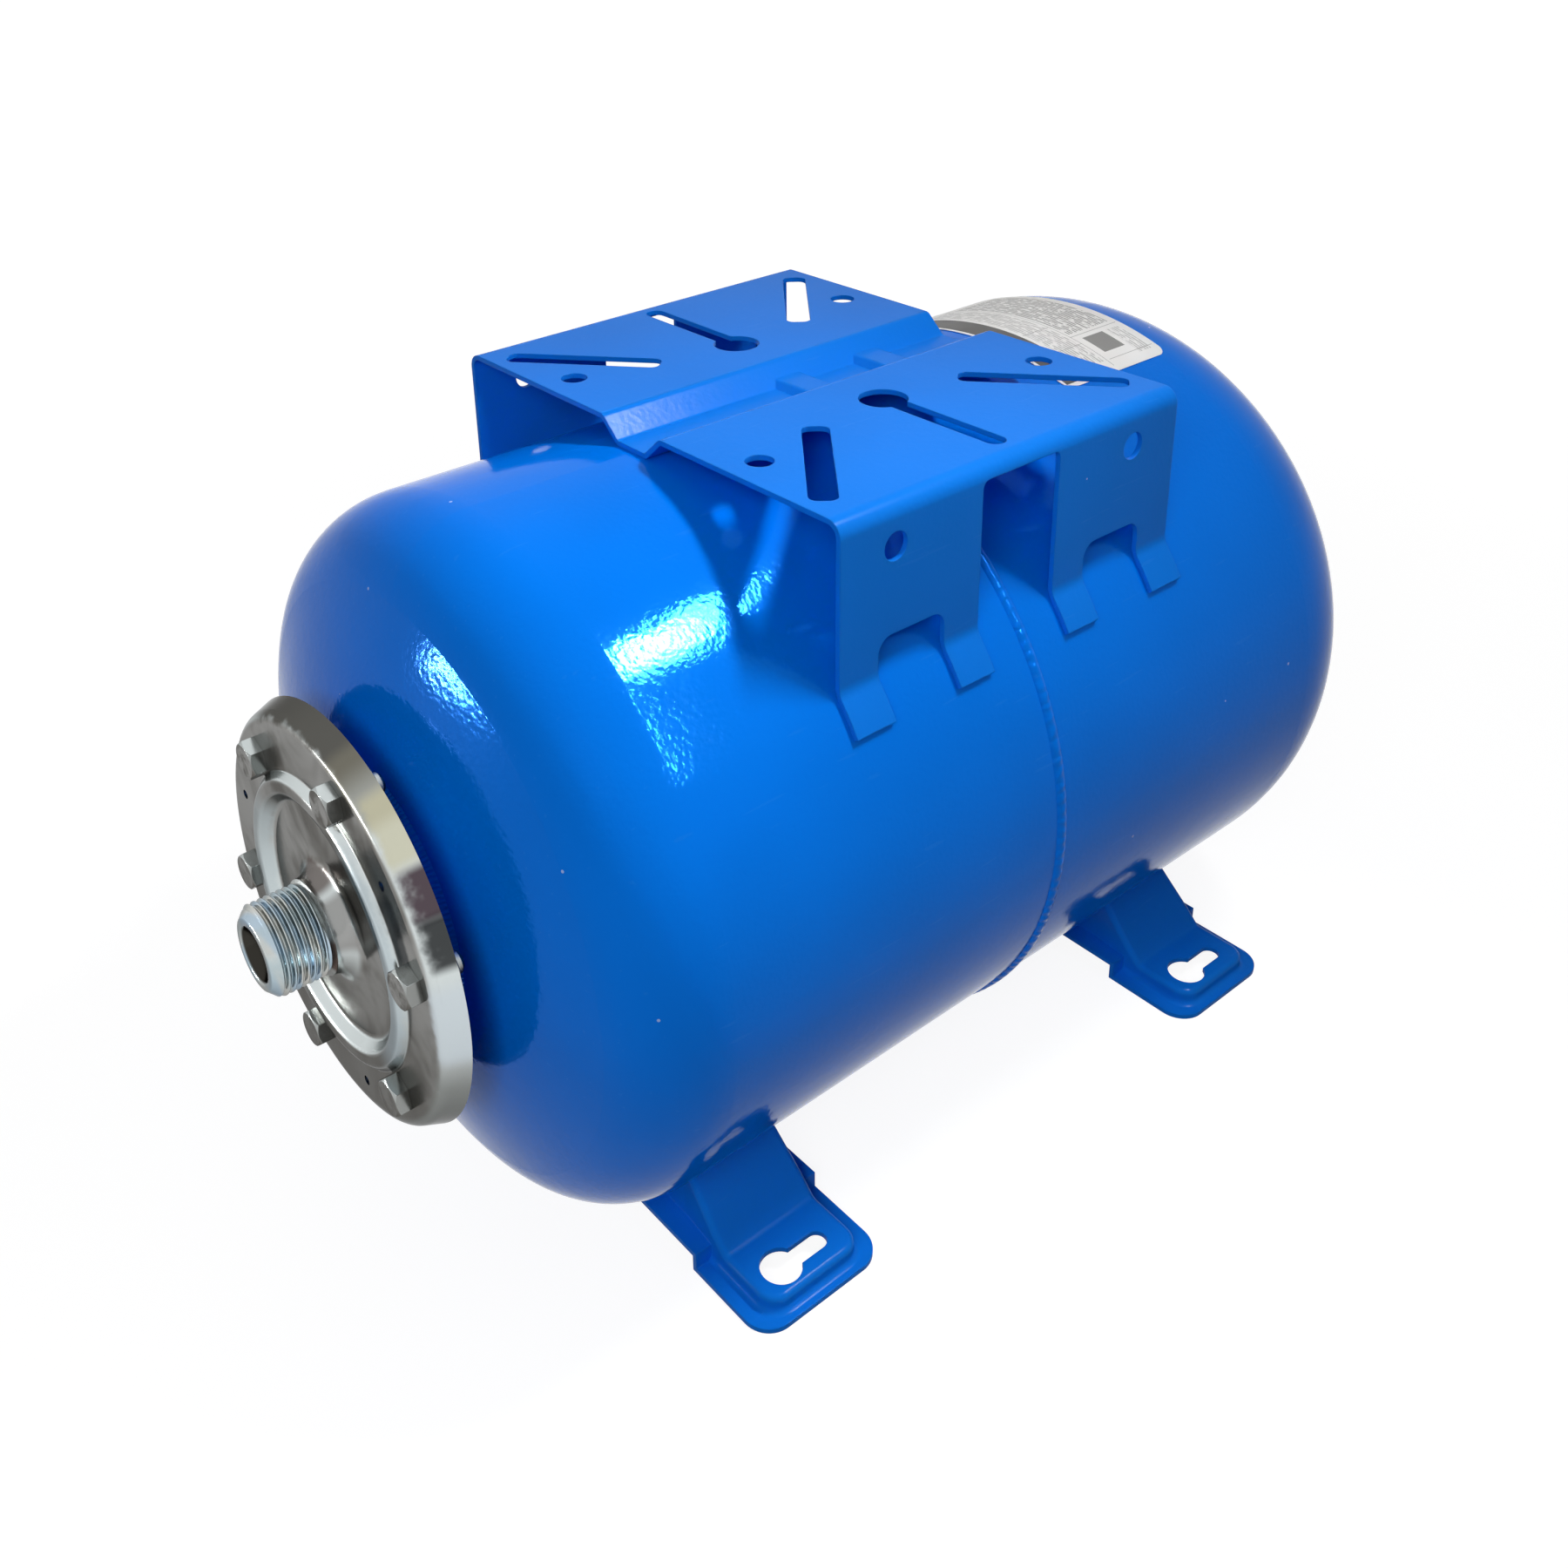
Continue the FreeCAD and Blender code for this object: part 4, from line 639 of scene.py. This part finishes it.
class OBJECT_OT_print_label(bpy.types.Operator):
    """Finishes the data label: pale film, dark end band and plain printed fields"""
    bl_idname = "object.print_label"
    bl_label = "Print the label"

    def execute(self, context):
        material, tree, shader, place = start_material("label_print")
        turn, along = axis_places(tree, place)[1:]
        around = maths(tree, "MULTIPLY", turn, TANK_RADIUS)
        along = maths(tree, "SUBTRACT", along, LABEL_LOW.x)

        def field(x0, x1, s0, s1):
            """A plain rectangle on the label, in millimetres along and around."""
            mask = None
            for value, low, high in ((along, x0, x1), (around, s0, s1)):
                for part in (maths(tree, "GREATER_THAN", value, low * MM),
                             maths(tree, "LESS_THAN", value, high * MM)):
                    mask = part if mask is None else maths(tree, "MULTIPLY", mask, part)
            return mask

        shown = blend_colour(tree, band(tree, noise(tree, place, 20.0, 3.0), 0.35, 0.75),
                             AGED_FILM, FRESH_FILM)
        flat = new_node(tree, "ShaderNodeCombineXYZ", {"X": along, "Y": around}).outputs[0]
        specks = new_node(tree, "ShaderNodeMapping", {
            "Vector": flat, "Scale": (690.0, 260.0, 1.0)}).outputs["Vector"]
        marks = band(tree, noise(tree, specks, 1.0, 1.0, 0.4), 0.40, 0.46)
        rows = maths(tree, "GREATER_THAN", maths(
            tree, "FRACT", maths(tree, "DIVIDE", along, 1.45 * MM)), 0.42)
        print_dots = maths(tree, "MULTIPLY", marks, rows)
        for x0, x1, s0, s1, strength in PRINT_ROWS:
            mask = maths(tree, "MULTIPLY", field(x0, x1, s0, s1), print_dots)
            shown = blend_colour(tree, maths(tree, "MULTIPLY", mask, strength), shown,
                                 FADED_PRINT)
        for x0, x1, s0, s1, strength in PRINT_FIELDS:
            mask = maths(tree, "MULTIPLY", field(x0, x1, s0, s1), strength)
            shown = blend_colour(tree, mask, shown, LABEL_INK)
        rough = maths(tree, "MULTIPLY_ADD", noise(tree, place, 60.0), 0.2, 0.30)
        finish_surface(tree, shader, shown, rough)
        shader.inputs["Specular IOR Level"].default_value = FILM_SPECULAR
        add_bump(tree, shader, noise(tree, place, 45.0, 2.0), 0.08 * MM)
        shade(["data_label"], material)
        return {"FINISHED"}


class OBJECT_OT_finish_bladder(bpy.types.Operator):
    """Gives the bladder its matt black rubber"""
    bl_idname = "object.finish_bladder"
    bl_label = "Finish the bladder"

    def execute(self, context):
        material, tree, shader, place = start_material("butyl_rubber")
        bloom = noise(tree, place, 30.0, 4.0, 0.6)
        shown = blend_colour(tree, band(tree, bloom, 0.4, 0.8), RUBBER, RUBBER_BLOOM)
        finish_surface(tree, shader, shown, maths(tree, "MULTIPLY_ADD", bloom, 0.25, 0.5))
        add_bump(tree, shader, noise(tree, place, 800.0, 2.0), 0.05 * MM)
        shade(["bladder"], material)
        return {"FINISHED"}


class OBJECT_OT_finish_air_valve(bpy.types.Operator):
    """Finishes the air valve: brass stem and core, steel spring, black caps"""
    bl_idname = "object.finish_air_valve"
    bl_label = "Finish the air valve"

    def execute(self, context):
        metal = context.scene.tank_metal
        brass, tree, shader, place = start_material("valve_brass")
        drift = noise(tree, place, 300.0, 3.0, 0.6)
        darker = tuple(part * 0.6 for part in metal.brass[:3]) + (1,)
        shown = blend_colour(tree, band(tree, drift, 0.35, 0.8), tuple(metal.brass), darker)
        finish_surface(tree, shader, shown, maths(tree, "MULTIPLY_ADD", drift, 0.25, 0.18))
        shader.inputs["Metallic"].default_value = 1.0
        add_bump(tree, shader, drift, 0.02 * MM)
        shade(["valve_stem", "valve_core", "valve_pin"], brass)
        shade(["valve_spring"], plated("spring_wire", metal, 0.05, 400.0)[0])
        plastic, tree, shader, place = start_material("black_cap_plastic")
        grain = noise(tree, place, 1400.0, 2.0, 0.6)
        smear = noise(tree, place, 50.0, 3.0, 0.6)
        shown = blend_colour(tree, band(tree, smear, 0.4, 0.8), PLASTIC, PLASTIC_SMEAR)
        finish_surface(tree, shader, shown, maths(tree, "MULTIPLY_ADD", smear, 0.2, 0.38))
        add_bump(tree, shader, grain, 0.05 * MM)
        shade(["valve_cap", "valve_cover"], plastic)
        return {"FINISHED"}


def area_lamp(name, place, target, size, power):
    """A white rectangular lamp aimed at a point, out of the camera's sight."""
    data = bpy.data.lights.new(name, "AREA")
    data.shape = "RECTANGLE"
    data.size, data.size_y = size
    data.energy = power
    lamp = bpy.data.objects.new(name, data)
    lamp.location = place
    aim = Vector(target) - lamp.location
    lamp.rotation_euler = aim.to_track_quat("-Z", "Y").to_euler()
    bpy.context.scene.collection.objects.link(lamp)
    lamp.visible_camera = False
    return lamp


def seen_directly(tree):
    """1 for camera, glossy and transmission rays."""
    rays = new_node(tree, "ShaderNodeLightPath").outputs
    straight = maths(tree, "MAXIMUM", rays["Is Camera Ray"], rays["Is Glossy Ray"])
    return maths(tree, "MAXIMUM", straight, rays["Is Transmission Ray"])


class SCENE_OT_set_studio(bpy.types.Operator):
    """Sets the pale floor, the room, the lamps and the camera"""
    bl_idname = "scene.set_tank_studio"
    bl_label = "Set the studio"

    def execute(self, context):
        scene = context.scene
        studio = scene.tank_studio
        scene.view_settings.view_transform = "Standard"
        world = bpy.data.worlds.new("white_room")
        world.use_nodes = True
        scene.world = world
        tree = world.node_tree
        tree.nodes.clear()
        room = new_node(tree, "ShaderNodeBackground", {
            "Color": WHITE, "Strength": studio.background})
        white = new_node(tree, "ShaderNodeBackground", {"Color": WHITE, "Strength": 1.0})
        mixed = new_node(tree, "ShaderNodeMixShader", {
            0: seen_directly(tree), 1: room.outputs[0], 2: white.outputs[0]})
        new_node(tree, "ShaderNodeOutputWorld", {"Surface": mixed.outputs[0]})

        mesh = bmesh.new()
        bmesh.ops.create_grid(mesh, x_segments=8, y_segments=8, size=FLOOR_HALF_SIDE)
        data = bpy.data.meshes.new("studio_floor")
        mesh.to_mesh(data)
        mesh.free()
        floor = bpy.data.objects.new("studio_floor", data)
        scene.collection.objects.link(floor)
        material, tree, shader, place = start_material("pale_floor")
        shader.inputs["Base Color"].default_value = PALE_FLOOR
        shader.inputs["Roughness"].default_value = 0.9
        glow = new_node(tree, "ShaderNodeEmission", {"Color": WHITE})
        away = new_node(tree, "ShaderNodeVectorMath", {0: place}, operation="LENGTH")
        level = maths(tree, "MULTIPLY_ADD", band(tree, away.outputs["Value"], 0.4, 1.6),
                      FLOOR_GLOW_ADDED, FLOOR_GLOW)
        lift = maths(tree, "MULTIPLY", seen_directly(tree), level)
        tree.links.new(lift, glow.inputs["Strength"])
        both = new_node(tree, "ShaderNodeAddShader", {
            0: shader.outputs[0], 1: glow.outputs[0]})
        tree.links.new(both.outputs[0], tree.nodes["Material Output"].inputs["Surface"])
        data.materials.append(material)

        key = area_lamp("window", (0.309, -0.286, 0.924), (-0.6, -0.15, 0.25), (0.22, 0.08),
                        studio.key)
        key.data.spread = math.radians(100)
        for name, place, size, share in GLINTS:
            glint = area_lamp(name, place, SHELL_PATCH, size, studio.glint * share)
            glint.visible_diffuse = False
            # One side of the lamp runs along the tank, so its reflection does too.
            away = (Vector(place) - Vector(SHELL_PATCH)).normalized()
            along = (Vector((1, 0, 0)) - away * away.x).normalized()
            glint.rotation_euler = Matrix(
                (along, away.cross(along), away)).transposed().to_euler()
        strip = area_lamp("low_strip", (-1.15, 0.64, 0.09), (-0.19, -0.05, 0.24),
                          (0.34, 0.028), 6.0)
        strip.visible_diffuse = False
        for name, place, size, power in SOFTBOXES:
            softbox = area_lamp(name, place, TANK_MIDDLE, size, power)
            softbox.visible_glossy = False

        data = bpy.data.cameras.new("photo_camera")
        data.lens = studio.lens
        data.sensor_width = 36.0
        data.shift_x, data.shift_y = studio.shift
        camera = bpy.data.objects.new("photo_camera", data)
        camera.location = studio.camera
        camera.rotation_euler = studio.turn
        scene.collection.objects.link(camera)
        scene.camera = camera
        return {"FINISHED"}


class VIEW3D_PT_tank(bpy.types.Panel):
    """Lists the steps that dress the tank"""
    bl_label = "Well pressure tank"
    bl_space_type = "VIEW_3D"
    bl_region_type = "UI"
    bl_category = "Tank"

    def draw(self, context):
        for operator in STEPS:
            self.layout.operator(operator.bl_idname)


STEPS = (OBJECT_OT_enamel_tank, OBJECT_OT_enamel_brackets, OBJECT_OT_plate_disc,
         OBJECT_OT_plate_fasteners, OBJECT_OT_cut_thread, OBJECT_OT_print_label,
         OBJECT_OT_finish_bladder, OBJECT_OT_finish_air_valve, SCENE_OT_set_studio)
SETTINGS = {"tank_paint": PaintSettings, "tank_metal": MetalSettings,
            "tank_thread": ThreadSettings, "tank_studio": StudioSettings}


def register():
    """Registers the settings, the steps and the panel."""
    for name, settings in SETTINGS.items():
        bpy.utils.register_class(settings)
        setattr(bpy.types.Scene, name, PointerProperty(type=settings))
    for operator in STEPS:
        bpy.utils.register_class(operator)
    bpy.utils.register_class(VIEW3D_PT_tank)


def unregister():
    """Takes the panel, the steps and the settings out again."""
    bpy.utils.unregister_class(VIEW3D_PT_tank)
    for operator in reversed(STEPS):
        bpy.utils.unregister_class(operator)
    for name, settings in SETTINGS.items():
        delattr(bpy.types.Scene, name)
        bpy.utils.unregister_class(settings)


def main():
    register()
    GROUPS.update(build_groups())
    for operator in STEPS:
        module, name = operator.bl_idname.split(".")
        getattr(getattr(bpy.ops, module), name)()


if __name__ == "__main__":
    main()
